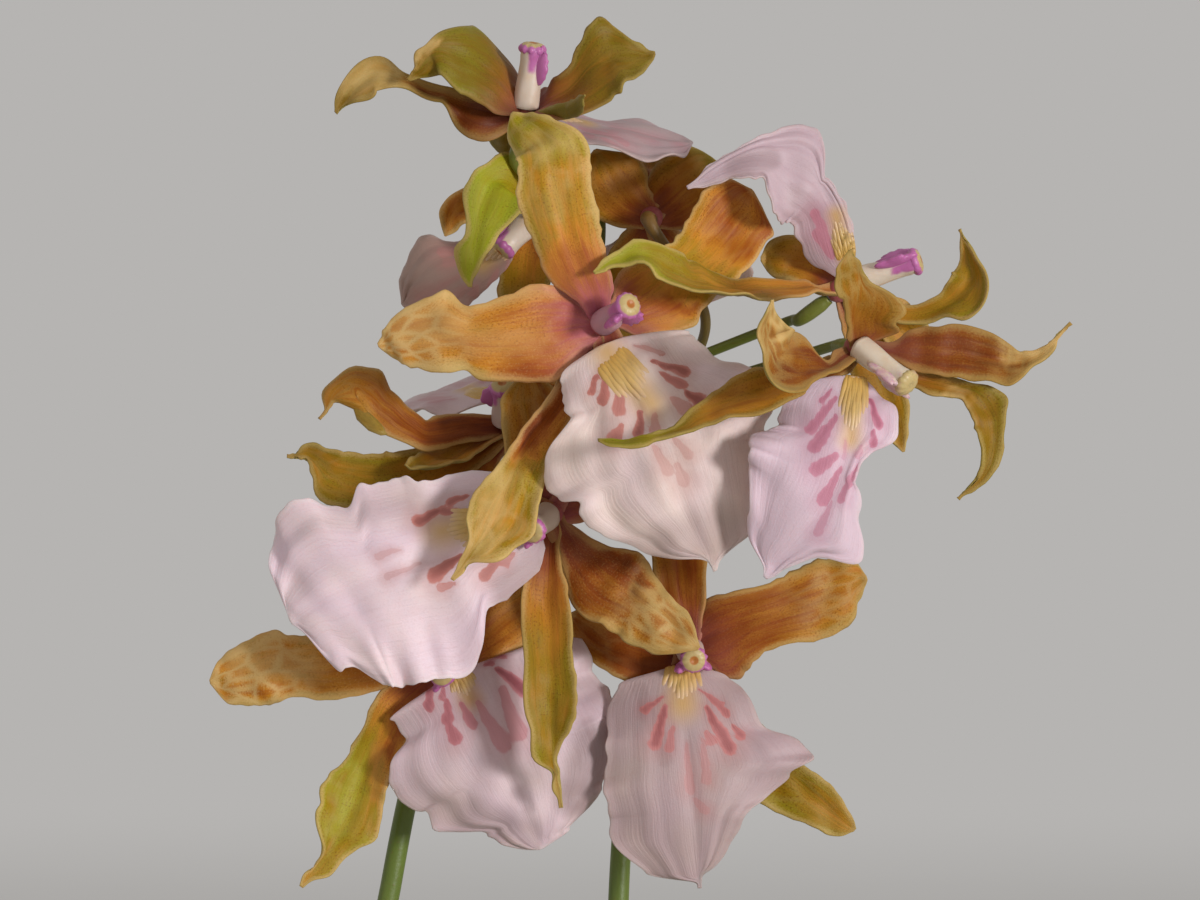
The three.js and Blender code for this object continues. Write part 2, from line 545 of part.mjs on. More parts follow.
// A round bar along a curve through the listed points.
function bar(points, radius, sides, steps) {
  const ring = [];
  for (let k = 0; k < sides; k++) {
    const angle = (2 * Math.PI * k) / sides;
    ring.push(new THREE.Vector2(radius * Math.cos(angle), radius * Math.sin(angle)));
  }
  const options = { steps, bevelEnabled: false, extrudePath: curve(points) };
  return solid(new THREE.ExtrudeGeometry(new THREE.Shape(ring), options));
}

// A turned body from a profile of [radius, height] points that begins and ends on the axis.
function turned(profile, sides) {
  const points = profile.map((p) => new THREE.Vector2(...p));
  return solid(new THREE.LatheGeometry(points, sides).rotateX(Math.PI / 2));
}

function ball(radius, columns, rows, at) {
  return solid(new THREE.SphereGeometry(radius, columns, rows).translate(...at));
}

function plainCylinder(radius, bottom, top, at) {
  return wasm.Manifold.cylinder(top - bottom, radius, radius, 12).translate([at[0], at[1], bottom]);
}

function heartOf(bloom) {
  return vector(bloom.heart).add(new THREE.Vector3(0, 0, HEAD_Z));
}

// The middle of a bloom's boss, behind its heart.
function bossOf(bloom) {
  return vector(bloom.facing).setLength(-BOSS_BACK).add(heartOf(bloom));
}

function placed(bloom, path) {
  const heart = heartOf(bloom);
  return path.map((p) => vector(p).add(heart).toArray());
}

// Five blades fused to the boss; extra swells them for a clear cut.
function tepalsOf(bloom, extra) {
  const boss = bossOf(bloom);
  const parts = bloom.tepals.map((tepal) => {
    const half = tepal.wide / 2;
    const outline = OUTLINES[tepal.kind].map((row) => [row[0], row[1] * half + extra, row[2] * half + extra]);
    const path = [boss.toArray(), ...placed(bloom, tepal.path)];
    const face = tepal.face || [[0, -1, 0]];
    const spec = { path, outline, face, cup: tepal.cup, wave: tepal.wave };
    return blade(spec, TEPAL_THICK + 2 * extra, TEPAL_ROWS, 2);
  });
  return join([ball(BOSS_RADIUS + extra, 7, 5, boss.toArray()), ...parts]);
}

// The column: a stout peg with a cap and a wing on each side; extra swells it for a clear cut.
function columnOf(bloom, extra) {
  const tip = vector(bloom.column);
  const long = tip.length() + extra;
  const r = COLUMN_RADIUS + extra;
  const profile = [[0, 0], [0.75 * r, 0], [0.7 * r, 0.4 * long], [0.95 * r, 0.68 * long],
    [r, 0.84 * long], [0.6 * r, long], [0, long]];
  const peg = turned(profile, COLUMN_SIDES);
  const lipWay = vector(bloom.lip.path[1]).sub(vector(bloom.lip.path[0]));
  const ahead = tip.clone().normalize();
  const side = new THREE.Vector3().crossVectors(ahead, lipWay).normalize();
  const down = new THREE.Vector3().crossVectors(side, ahead);
  const wings = [-1, 1].map((way) => {
    const wing = new THREE.SphereGeometry(1, 5, 3);
    wing.scale(2 + extra, 1.1 + extra, 1.9 + extra);
    wing.translate(way * 2.9, 1.6, 0.62 * long);
    return solid(wing);
  });
  const frame = new THREE.Matrix4().makeBasis(side, down, ahead);
  if (frame.determinant() < 0) {
    frame.makeBasis(side.negate(), down, ahead);
  }
  frame.setPosition(heartOf(bloom));
  return join([peg, ...wings]).transform(frame.toArray());
}

function lipOf(bloom) {
  const lip = bloom.lip;
  const spec = { path: placed(bloom, lip.path), outline: lip.outline, face: lip.face };
  return blade({ ...spec, cup: lip.cup, wave: lip.wave }, LIP_THICK, lip.rows, 4);
}

function bloomMeshes(name, bloom) {
  const tepals = tepalsOf(bloom, 0).simplify(SMOOTH);
  const room = tepalsOf(bloom, FIT_GAP).intersect(ball(HEART_ROOM, 10, 8, heartOf(bloom).toArray()));
  const column = mainBody(columnOf(bloom, 0).subtract(room)).simplify(SMOOTH);
  const lip = mainBody(lipOf(bloom).subtract(room).subtract(columnOf(bloom, FIT_GAP))).simplify(SMOOTH);
  return [
    meshOf("tepals_" + name, tepals, FINISH.tepal),
    meshOf("lip_" + name, lip, FINISH.lip),
    meshOf("column_" + name, column, FINISH.column),
  ];
}

// A stalk with its pedicels, each ending just behind its bloom's boss.
function scapeOf(scape) {
  const line = curve(scape.line);
  const parts = [bar(scape.line, SCAPE_RADIUS, 7, 18)];
  for (const [name, pedicel] of Object.entries(scape.pedicels)) {
    const bloom = BLOOMS[name];
    const boss = bossOf(bloom);
    const back = vector(bloom.facing).setLength(-1);
    const end = boss.clone().addScaledVector(back, BOSS_RADIUS + FIT_GAP + 0.1);
    const before = boss.clone().addScaledVector(back, 11);
    const start = line.getPoint(pedicel.leaves);
    const points = [start.toArray(), pedicel.via, before.toArray(), end.toArray()];
    parts.push(bar(points, PEDICEL_RADIUS, 5, 6));
  }
  return join(parts);
}

function rhizomeOf(extra) {
  const points = RHIZOME.map((p) => [p[0], p[1], RHIZOME_Z]);
  return bar(points, RHIZOME_RADIUS + extra, 7, 9);
}

function bulbOf(bulb) {
  const tall = BULB_HEIGHT * bulb.tall;
  const shares = [[0, 0], [0.6, 0], [0.86, 0.16], [1, 0.38], [0.86, 0.64], [0.56, 0.86], [0.3, 1], [0, 1]];
  const profile = shares.map((p) => [p[0] * BULB_RADIUS, p[1] * tall]);
  const made = turned(profile, BULB_SIDES).scale([1, BULB_FLATNESS, 1]).rotate([0, 0, bulb.turn]);
  return made.translate([bulb.at[0], bulb.at[1], BULB_FOOT_Z]);
}

// The foot of a leaf: on its bulb's neck, or in the medium.
function leafFoot(leaf) {
  if (leaf.foot) {
    return [leaf.foot[0], leaf.foot[1], LEAF_FOOT_Z];
  }
  const bulb = BULBS[leaf.bulb];
  const angle = THREE.MathUtils.degToRad(leaf.heading);
  const top = BULB_FOOT_Z + BULB_HEIGHT * bulb.tall + FIT_GAP + 0.1;
  return [bulb.at[0] + 3.4 * Math.cos(angle), bulb.at[1] + 3.4 * Math.sin(angle), top];
}

function leafOf(leaf) {
  const foot = leafFoot(leaf);
  const angle = THREE.MathUtils.degToRad(leaf.heading);
  const out = [Math.cos(angle), Math.sin(angle)];
  const stops = [[0, 0], [0.05, 0.3], [0.3, 0.72], [0.66, 0.96], [1, 0.9]];
  const path = stops.map(([reach, rise]) => {
    const away = reach * leaf.reach * leaf.long;
    return [foot[0] + out[0] * away, foot[1] + out[1] * away, foot[2] + rise * leaf.rise * leaf.long];
  });
  const half = leaf.wide / 2;
  const outline = LEAF_OUTLINE.map((row) => [row[0], row[1] * half, row[2] * half]);
  const face = [[-out[0], -out[1], 0.2], [-out[0] * 0.3, -out[1] * 0.3, 1]];
  const spec = { path, outline, face, cup: 0, fold: LEAF_FOLD, wave: [0.8, 1.5, leaf.heading] };
  return blade(spec, LEAF_THICK, LEAF_ROWS, 2);
}

function potOf() {
  const profile = [[0, 0], [POT_BASE_RADIUS, 0], [POT_RADIUS - RIM_STEP - 2, POT_HEIGHT - RIM_HEIGHT],
    [POT_RADIUS - 1, POT_HEIGHT - RIM_HEIGHT], [POT_RADIUS, POT_HEIGHT - RIM_HEIGHT + 1.5],
    [POT_RADIUS, POT_HEIGHT - 1.5], [POT_RADIUS - 1.5, POT_HEIGHT],
    [POT_RADIUS - POT_WALL + 0.5, POT_HEIGHT], [POT_RADIUS - POT_WALL - 1, POT_HEIGHT - 3],
    [POT_BASE_RADIUS - POT_WALL + 1.5, POT_FLOOR], [0, POT_FLOOR]];
  const holes = [];
  for (let k = 0; k < DRAIN_COUNT; k++) {
    const angle = (2 * Math.PI * (k + 0.5)) / DRAIN_COUNT;
    const at = [DRAIN_AT * Math.cos(angle), DRAIN_AT * Math.sin(angle)];
    holes.push(plainCylinder(DRAIN_RADIUS, -1, POT_FLOOR + 1, at));
  }
  return turned(profile, POT_SIDES).subtract(join(holes));
}

// The inside radius of the pot at a height.
function insideRadius(z) {
  const low = POT_BASE_RADIUS - POT_WALL + 1.5;
  const high = POT_RADIUS - POT_WALL - 1;
  return low + ((high - low) * (z - POT_FLOOR)) / (POT_HEIGHT - 3 - POT_FLOOR);
}

// Seeded draws between 0 and 1.
function draws(seed) {
  let state = seed;
  return () => {
    state = (state * 16807) % 2147483647;
    return state / 2147483647;
  };
}

function chipsOf(keepClear) {
  const draw = draws(CHIP_SEED);
  const chips = [];
  while (chips.length < CHIP_COUNT) {
    const angle = 2 * Math.PI * draw();
    const away = (insideRadius(MEDIUM_EDGE_Z) - 12) * Math.sqrt(draw());
    const at = [away * Math.cos(angle), away * Math.sin(angle)];
    const size = [9 + 8 * draw(), 6 + 4 * draw(), 5 + 2 * draw()];
    const turns = [30 * (draw() - 0.5), 30 * (draw() - 0.5), 180 * draw()];
    const clear = keepClear.every(([x, y, r]) => Math.hypot(at[0] - x, at[1] - y) > r + 10);
    if (clear) {
      const chip = wasm.Manifold.cube(size, true).rotate(turns);
      chips.push(chip.translate([at[0], at[1], MEDIUM_EDGE_Z + 2.5]));
    }
  }
  return join(chips);
}

function mediumOf() {
  const low = POT_FLOOR + FIT_GAP;
  const profile = [[0, low], [insideRadius(low) - FIT_GAP - 0.2, low],
    [insideRadius(MEDIUM_EDGE_Z) - FIT_GAP - 0.2, MEDIUM_EDGE_Z], [30, MEDIUM_EDGE_Z + 2.6],
    [0, MEDIUM_MIDDLE_Z]];
  const keepClear = [];
  const cuts = [rhizomeOf(FIT_GAP)];
  for (const point of curve(RHIZOME.map((p) => [p[0], p[1], 0])).getPoints(12)) {
    keepClear.push([point.x, point.y, RHIZOME_RADIUS]);
  }
  for (const scape of Object.values(SCAPES)) {
    const [x, y] = scape.line[0];
    keepClear.push([x, y, SCAPE_RADIUS]);
    cuts.push(plainCylinder(SCAPE_RADIUS + 1, SCAPE_FOOT_Z - FIT_GAP, MEDIUM_MIDDLE_Z + 12, [x, y]));
  }
  for (const leaf of LEAVES.filter((item) => item.foot)) {
    const [x, y] = leaf.foot;
    keepClear.push([x, y, LEAF_HOLE_RADIUS]);
    cuts.push(plainCylinder(LEAF_HOLE_RADIUS, LEAF_FOOT_Z - FIT_GAP, MEDIUM_MIDDLE_Z + 12, leaf.foot));
  }
  const heap = turned(profile, POT_SIDES).add(chipsOf(keepClear));
  return mainBody(heap.subtract(join(cuts)));
}

const plant = new THREE.Group();
plant.name = "potted_miltonia";
plant.add(meshOf("pot", potOf(), FINISH.terracotta));
plant.add(meshOf("medium", mediumOf(), FINISH.bark));
plant.add(meshOf("rhizome", rhizomeOf(0), FINISH.rhizome));
for (const bulb of BULBS) {
  plant.add(meshOf(bulb.name, mainBody(bulbOf(bulb).subtract(rhizomeOf(FIT_GAP))), FINISH.bulb));
}
LEAVES.forEach((leaf, k) => {
  plant.add(meshOf("leaf_" + (k + 1), leafOf(leaf), FINISH.leaf));
});
for (const [name, scape] of Object.entries(SCAPES)) {
  plant.add(meshOf("scape_" + name, scapeOf(scape), FINISH.stalk));
}
for (const [name, bloom] of Object.entries(BLOOMS)) {
  plant.add(...bloomMeshes(name, bloom));
}

export default plant;
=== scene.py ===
"""Fine blooms, stalks, leaves, bulbs, bark and pot of a potted Miltonia orchid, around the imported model.

Lengths in the tables are in millimetres, as in the part's source, and MM turns them into metres.
"""

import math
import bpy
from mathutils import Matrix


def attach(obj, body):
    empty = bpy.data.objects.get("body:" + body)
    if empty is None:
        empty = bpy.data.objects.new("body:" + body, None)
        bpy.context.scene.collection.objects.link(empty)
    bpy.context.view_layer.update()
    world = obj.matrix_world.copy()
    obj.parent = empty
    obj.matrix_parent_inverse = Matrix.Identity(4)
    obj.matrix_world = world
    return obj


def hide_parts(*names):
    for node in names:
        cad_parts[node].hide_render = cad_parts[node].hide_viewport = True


bl_info = {
    "name": "Potted Miltonia orchid",
    "version": (1, 0, 0),
    "blender": (4, 5, 0),
    "location": "View3D > Sidebar > Orchid",
    "description": "Fine blooms, stalks, leaves, bulbs, bark and pot around the packed model",
    "category": "Add Mesh",
}

import bpy
import numpy as np
from bpy.props import FloatProperty, FloatVectorProperty, IntProperty, PointerProperty
from mathutils import Vector

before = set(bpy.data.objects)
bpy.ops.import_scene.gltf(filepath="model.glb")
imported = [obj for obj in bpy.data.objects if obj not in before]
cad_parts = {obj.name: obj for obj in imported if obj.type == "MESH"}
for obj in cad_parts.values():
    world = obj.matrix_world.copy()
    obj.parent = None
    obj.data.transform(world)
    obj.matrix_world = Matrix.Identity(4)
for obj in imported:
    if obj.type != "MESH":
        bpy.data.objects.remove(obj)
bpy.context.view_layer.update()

MM = 0.001
BODY = "root"

# Where the head and the camera are, and the sizes that the source gives the plant's plain forms.
HEAD_Z = 480
CAMERA_AWAY = 1200
BOSS_RADIUS = 3.2
BOSS_BACK = 2.5
TIP_HALF = 0.25
SIDE_SHIFT = 1.9
COLUMN_RADIUS = 2.9
SCAPE_FOOT_Z = 90
BULB_FOOT_Z = 103
BULB_HEIGHT = 72
BULB_RADIUS = 15
BULB_FLATNESS = 0.6
RHIZOME_Z = 103
RHIZOME_RADIUS = 4.5
LEAF_FOLD = -0.42
LEAF_FOOT_Z = 92

# Thickness of the fine blades, how far patches spread past their middles, and how the bark lies.
TEPAL_THICK = 0.9
LIP_THICK = 0.8
LEAF_THICK = 1.2
PATCH_SPREAD = 1.45
SHADE_SPREAD = 1.6
BOSS_FLUSH = 0.7
BED_GAP = 0.6
CHIPS = 190
CHIP_TRIES = 2600

# Outlines that blades share: rows of how far along, and how wide to the left and right, as shares of the whole.
OUTLINES = {
    "sepal": [[0, 0.4, 0.4], [0.16, 0.6, 0.58], [0.38, 0.92, 0.9], [0.6, 1, 1], [0.8, 0.78, 0.74],
      [0.93, 0.36, 0.34], [1, 0.05, 0.05]],
    "petal": [[0, 0.38, 0.4], [0.18, 0.82, 0.8], [0.4, 0.96, 1], [0.62, 1, 0.9], [0.8, 0.82, 0.84],
      [0.93, 0.5, 0.52], [1, 0.08, 0.08]],
    "blunt": [[0, 0.36, 0.36], [0.2, 0.6, 0.64], [0.42, 0.92, 0.9], [0.62, 1, 0.98], [0.8, 0.98, 1],
      [0.93, 0.76, 0.8], [1, 0.14, 0.14]],
    "wedge": [[0, 0.4, 0.4], [0.2, 0.72, 0.7], [0.42, 1, 1], [0.6, 0.86, 0.9], [0.78, 0.56, 0.6],
      [0.92, 0.26, 0.26], [1, 0.05, 0.05]],
}

# Each bloom, from its heart: its column, and the path of each blade with its cup, waves, facing and outline.
# The rows of an outline are how far along the path, and the half-width to the left and to the right.
BLOOMS = {
  "front": {
    "heart": [0.6, -18, 25], "facing": [0.15, -1, 0.05], "column": [5.2, -9.5, 3.4],
    "tepals": [
      {"cup": -0.12, "wave": [0.8, 1.5, 0.4], "path": [[-3, -2, 6.9], [-6.7, -3, 16.3], [-9.8, -2, 28.1],
      [-11.4, 1, 36.1], [-18.1, 8, 41.8]], "outline": [[0, 2, 2], [0.04, 1.8, 1.8], [0.15, 4.6, 2.8],
      [0.27, 5.7, 6.1], [0.45, 6.9, 7.1], [0.57, 7.2, 7.9], [0.63, 7.7, 6.8], [0.75, 7.6, 6.6], [0.81, 5.3, 6.8],
      [0.87, 3.6, 6.6], [0.96, 1.7, 4.4], [1, 0.4, 0.4]]},
      {"cup": -0.12, "wave": [1.6, 2.2, 2.6], "path": [[-11.8, -2, -1.6], [-26.9, -3, -2.6], [-39, 0, -2.7],
      [-44.4, 2, -4.3]], "outline": [[0, 2, 2], [0.04, 1.8, 4.6], [0.09, 6, 5.8], [0.15, 8.1, 7.3],
      [0.21, 8.9, 9.9], [0.27, 9.3, 9.9], [0.45, 6.1, 8.8], [0.51, 6.3, 6.9], [0.57, 8.8, 7.1], [0.63, 8.1, 7],
      [0.87, 2.7, 4.5], [0.96, 1.2, 2.2], [1, 0.4, 0.4]]},
      {"cup": 0.1, "wave": [1.2, 2, 1], "path": [[10.3, 8, 6.7], [20.4, 17, 16.4], [30, 24, 27.3]],
      "outline": [[0, 2, 2], [0.05, 1.8, 2.6], [0.12, 5.6, 3.4], [0.2, 7, 6.6], [0.36, 10.4, 7.1], [0.44, 9.2, 6.3],
      [0.52, 8.9, 5.2], [0.6, 9.7, 4.8], [0.76, 9.7, 6.6], [0.84, 8.9, 7.1], [0.91, 9, 6.2], [0.96, 4.4, 4.8],
      [1, 0.4, 0.4]]},
      {"cup": 0.16, "wave": [0.8, 1.6, 0.6], "path": [[-7.3, 2, -15.1], [-16.3, -2, -27], [-20.7, -9, -38.7],
      [-29.4, -13, -50.3]], "face": [[0.3, -1, 0], [0.1, -1, 0], [-0.3, -1, 0.2]], "outline": [[0, 2, 1],
      [0.04, 1.8, 2.2], [0.09, 1.8, 3.1], [0.21, 3.3, 3.2], [0.39, 3.5, 4.1], [0.51, 3.1, 5.9], [0.69, 6.4, 6.8],
      [0.75, 6.2, 8.1], [0.81, 5.1, 6.2], [0.87, 2.1, 5], [0.92, 1.4, 0.9], [0.96, 0.9, 1], [1, 0.4, 0.4]]},
      {"kind": "sepal", "wide": 13, "cup": 0.2, "wave": [0.6, 1.6, 0], "path": [[5, 2, -13], [12, 1, -25],
      [18, 2, -36]]},
    ],
    "lip": {"cup": -0.2, "wave": [1.5, 4, 0.5], "path": [[1.6, -2.6, -3.8], [6.4, -8, -15.6], [13.4, -11.5, -31.6],
      [21.9, -9, -48.7]], "face": [[0.05, -1, 0.1], [0.1, -1, 0], [0.1, -1, -0.1]], "outline": [[0, 3.5, 3.5],
      [0.03, 9.8, 13.8], [0.06, 11.2, 15.2], [0.1, 12.2, 16.3], [0.25, 13.2, 18.3], [0.3, 13.2, 21.4],
      [0.35, 18, 25.1], [0.39, 20.2, 26.2], [0.47, 22, 26], [0.55, 21.1, 24.7], [0.59, 17.8, 22.1],
      [0.63, 18.6, 21.1], [0.67, 18.2, 20.4], [0.76, 14.8, 18.2], [0.81, 11.6, 16.7], [0.86, 9.6, 15],
      [0.9, 5.9, 13.4], [0.94, 1.7, 11.7], [0.97, 0.2, 2.9], [1, 0.4, 0.4]]},
  },
  "left": {
    "heart": [-10.4, -12, -13], "facing": [-0.35, -1, -0.1], "column": [-3, -9, -3],
    "tepals": [
      {"cup": -0.1, "wave": [1.2, 2.2, 0.4], "path": [[10.4, -1, -11.7], [19.9, -4, -18.2], [29.9, -5, -26.2]],
      "outline": [[0, 1.7, 1.3], [0.04, 3, 1.8], [0.09, 3.9, 2], [0.21, 5.5, 4.1], [0.33, 8.1, 7.1],
      [0.45, 8.2, 8.3], [0.51, 7.7, 7.6], [0.69, 7.9, 4.8], [0.87, 5.7, 3.9], [0.96, 1.9, 1.5], [1, 0.4, 0.4]]},
      {"cup": 0.4, "wave": [0.6, 2, 0.3], "path": [[-0.1, -1, -16.7], [0.4, -6, -32.3], [0.6, -6, -44.1],
      [2.7, -4, -57.6]], "outline": [[0, 2, 2], [0.04, 2, 1.8], [0.15, 4.1, 2.7], [0.27, 5.1, 4.7],
      [0.45, 4.8, 4.9], [0.57, 5.2, 5.5], [0.69, 3.9, 4.5], [0.81, 3.6, 1], [0.87, 0.6, 0.8], [0.92, 0.9, 0.7],
      [0.96, 0.4, 0.5], [1, 0.4, 0.4]]},
      {"kind": "sepal", "wide": 14, "cup": 0.15, "wave": [0.6, 1.8, 0], "path": [[10, 3, 5], [21, 5, 10],
      [31, 7, 13]]},
      {"kind": "petal", "wide": 14, "cup": 0.1, "wave": [0.8, 2, 0], "path": [[-1, 3, 10], [-3, 4, 20],
      [-4, 5, 28]]},
      {"kind": "sepal", "wide": 12, "cup": 0.15, "wave": [0.6, 1.8, 0], "path": [[-10, 3, 2], [-22, 4, 1],
      [-34, 5, -3]]},
    ],
    "lip": {"cup": -0.15, "wave": [1.6, 4.5, 0], "path": [[-1.5, -2.6, -2.8], [-19.9, -7, -8.5], [-38.3, -9, -13.3],
      [-50.5, -6, -20.9]], "face": [[-0.1, -1, 0.05], [-0.15, -1, 0.1], [-0.25, -1, 0.1]], "outline": [[0, 4, 3.5],
      [0.03, 11.7, 6.7], [0.06, 13.6, 8.3], [0.2, 16.2, 11.1], [0.25, 16.3, 11.9], [0.3, 15.9, 18.7],
      [0.35, 16.6, 22.5], [0.39, 18.3, 23.1], [0.43, 18.5, 22.2], [0.51, 18.2, 22.5], [0.55, 18.8, 22.2],
      [0.59, 15.1, 21.8], [0.63, 16, 21.6], [0.67, 17.8, 21.5], [0.71, 20.2, 21.3], [0.81, 19.6, 19.2],
      [0.86, 18, 15], [0.9, 16.2, 13.7], [0.94, 13.6, 12.8], [0.97, 10.7, 4.1], [1, 0.4, 0.4]]},
  },
  "low_left": {
    "heart": [-30.4, -2, -42.4], "facing": [-0.1, -1, -0.15], "column": [-1, -9, -2],
    "tepals": [
      {"cup": -0.1, "wave": [1, 2.2, 0.6], "path": [[-10.5, 0, 0.5], [-25.5, -1, -0.9], [-37.4, -2, -1.1],
      [-47.5, 0, -3.9]], "outline": [[0, 2, 2], [0.04, 2.2, 3.2], [0.27, 5.7, 5.2], [0.45, 6.8, 6.9],
      [0.57, 6.3, 5.8], [0.63, 6.3, 6.5], [0.69, 7.4, 7.3], [0.81, 5.5, 7.3], [0.92, 3.8, 5.7], [0.96, 2.5, 4.8],
      [1, 0.4, 0.4]]},
      {"cup": 0.2, "wave": [1, 2, 0.4], "path": [[-11.2, 2, -10], [-16.6, 3, -21.3], [-20.4, 1, -31.9],
      [-29.2, -2, -44.7]], "face": [[0, -1, 0], [-0.15, -1, 0], [0.3, -1, 0]], "outline": [[0, 1.3, 2],
      [0.04, 1.8, 3], [0.09, 2.4, 4.5], [0.21, 4.5, 5.4], [0.33, 3.6, 6.2], [0.51, 4.7, 5.9], [0.57, 6.3, 5.8],
      [0.63, 7.1, 5.6], [0.75, 6.5, 6.9], [0.81, 5.3, 4.7], [0.87, 1.1, 3.6], [0.92, 0.1, 3.6], [0.96, 1.2, 1.2],
      [1, 0.4, 0.4]]},
      {"kind": "sepal", "wide": 13, "cup": 0.12, "wave": [0.6, 1.6, 0], "path": [[1, 1, 12], [2, 3, 24],
      [2, 6, 34]]},
      {"kind": "petal", "wide": 14, "cup": 0.1, "wave": [0.8, 2, 0], "path": [[7, 3, 6], [15, 6, 12], [25, 9, 18]]},
      {"kind": "sepal", "wide": 12, "cup": 0.15, "wave": [0.6, 1.6, 0], "path": [[7, 3, -12], [14, 4, -23],
      [18, 5, -32]]},
    ],
    "lip": {"cup": -0.22, "wave": [1.4, 4, 1], "path": [[1.9, -2.6, -2.2], [8.3, -5.6, -14.8], [14.5, -7, -27.1],
      [18.7, -6, -36.9]], "face": [[0.05, -1, 0.1], [0, -1, 0], [0, -1, -0.1]], "outline": [[0, 4, 4],
      [0.03, 15, 25.2], [0.06, 15.1, 25.6], [0.15, 14.9, 25.7], [0.2, 18.5, 25.5], [0.25, 20.7, 24.7],
      [0.35, 21.8, 25.3], [0.47, 19.9, 25.6], [0.51, 17.9, 25.4], [0.63, 17.2, 23.9], [0.76, 9.4, 17],
      [0.81, 8.6, 15.7], [0.86, 7.3, 12.7], [0.9, 6.1, 10.8], [0.94, 4.5, 7.1], [0.97, 2.9, 6.2], [1, 0.4, 0.4]]},
  },
  "low_right": {
    "heart": [18, -2, -40], "facing": [0.05, -1, -0.15], "column": [0.6, -9, -1.6],
    "tepals": [
      {"cup": -0.1, "wave": [1, 2.2, 0.2], "path": [[9, 0, 5.1], [19.9, 0, 8.7], [29, 1, 12], [35.4, 2, 14.4]],
      "outline": [[0, 2.6, 2], [0.04, 4.6, 2.4], [0.09, 9.5, 4.1], [0.15, 10, 6.4], [0.21, 9.2, 7],
      [0.39, 6.9, 5.8], [0.57, 8.2, 6.5], [0.69, 8.2, 6.9], [0.81, 6.7, 6.2], [0.87, 4.2, 5.7], [0.96, 1.7, 4.2],
      [1, 0.4, 0.4]]},
      {"kind": "petal", "wide": 14, "cup": 0.1, "wave": [0.8, 2, 0], "path": [[-7, 2, -0.6], [-15, 3, 2],
      [-24, 4, 7]]},
      {"kind": "sepal", "wide": 11, "cup": 0.2, "wave": [0.5, 1.6, 0], "path": [[-1.5, 2, 11], [-2.6, 5, 24],
      [-3, 9, 36]]},
      {"cup": 0.16, "wave": [0.6, 1.8, 0.3], "path": [[7.6, 2, -11], [19, 2, -24.6], [32.9, 0, -35.9]],
      "outline": [[0, 2, 2], [0.05, 2.6, 1.8], [0.28, 5.1, 2.1], [0.6, 6.8, 3.8], [0.68, 7.6, 3.7],
      [0.84, 5.2, 4.1], [0.96, 3.2, 1.8], [1, 0.4, 0.4]]},
      {"kind": "sepal", "wide": 12, "cup": 0.15, "wave": [0.6, 1.6, 0], "path": [[-3, 3, -12], [-5, 5, -23],
      [-5, 5, -34]]},
    ],
    "lip": {"cup": -0.14, "wave": [1.3, 4, 0.2], "path": [[-2.1, -3.4, -3.4], [-0.8, -9.5, -17.8],
      [0.6, -11, -32.2], [1.8, -8, -46.9]], "face": [[0, -1, 0.1], [0, -1, 0], [0, -1, -0.15]],
      "outline": [[0, 3.5, 3.5], [0.03, 11.5, 8], [0.06, 13, 9.6], [0.1, 14.2, 12], [0.15, 15.1, 13.4],
      [0.25, 15.8, 14.7], [0.3, 16, 16.7], [0.35, 16.2, 21.4], [0.43, 16.5, 24.5], [0.47, 17.1, 24.6],
      [0.51, 17.5, 20.2], [0.55, 17.4, 18.8], [0.63, 16.6, 14], [0.67, 16.7, 11.2], [0.76, 16.8, 8.3],
      [0.81, 15.5, 7], [0.9, 11.3, 3.7], [0.94, 9.2, 0.9], [0.97, 1.3, 0.5], [1, 0.4, 0.4]]},
  },
  "mid_left": {
    "heart": [-19, 10, 6], "facing": [-0.6, -0.5, 0.5], "column": [-0.6, -6, 7],
    "tepals": [
      {"cup": -0.2, "wave": [0.6, 1.6, 0], "path": [[-7.2, -3, -1.6], [-16.1, -6, -2.4], [-24.1, -8, 3.4],
      [-31, -9, 7.2], [-37.2, -10, 0.2]], "face": [[0.1, -1, 0.2], [0.2, -0.7, 0.7], [-0.4, -0.8, 0.5]],
      "outline": [[0, 2, 2], [0.05, 2.4, 2.2], [0.28, 4.5, 3.3], [0.36, 4.1, 3.4], [0.44, 4.1, 4], [0.52, 3.4, 5.5],
      [0.6, 4.7, 5.7], [0.68, 6.4, 4.6], [0.76, 5.3, 4.1], [0.84, 4, 14], [0.91, 3.2, 0.5], [0.96, 0.2, 0.4],
      [1, 0.4, 0.4]]},
      {"cup": 0.2, "wave": [0.9, 2, 0], "path": [[-11, 0, -9], [-23.3, -1, -14.1], [-34.4, -2, -11.6],
      [-39.4, -1, -7.4], [-44.1, 0, -7.2]], "outline": [[0, 2, 2], [0.05, 1.8, 2.4], [0.2, 5.1, 4.1],
      [0.36, 7.4, 4.5], [0.44, 7.6, 4.4], [0.6, 5.7, 5.4], [0.68, 5.1, 2.7], [0.76, 3.4, 1.6], [0.84, 2.5, 0.9],
      [0.91, 0.7, 0.7], [0.96, 0.3, 0.5], [1, 0.4, 0.4]]},
      {"kind": "sepal", "wide": 8, "cup": 0.2, "wave": [0.4, 1.6, 0], "path": [[-7, -1, -5.4], [-14, -6, -8.4],
      [-20, -10, -9]], "face": [[0, -0.6, 1]]},
      {"kind": "sepal", "wide": 12, "cup": 0.15, "wave": [0.6, 1.6, 0], "path": [[-6, 1, -8], [-8, 3, -17],
      [-10, 4, -25]]},
      {"kind": "petal", "wide": 13, "cup": 0.1, "wave": [0.6, 1.8, 0], "path": [[7, 4, 2], [15, 7, 0],
      [23, 11, -5]]},
    ],
    "lip": {"cup": -0.12, "wave": [1.2, 3, 0], "path": [[-2.4, 2, 4.4], [-8, 11, 6.4], [-14, 22, 6.6],
      [-19, 33, 3]], "face": [[-0.2, -0.3, 1]], "outline": [[0, 3, 3], [0.1, 9, 9], [0.25, 12, 12], [0.4, 17, 17],
      [0.6, 19, 19], [0.8, 15, 15], [0.93, 8, 8], [1, 0.4, 0.4]]},
  },
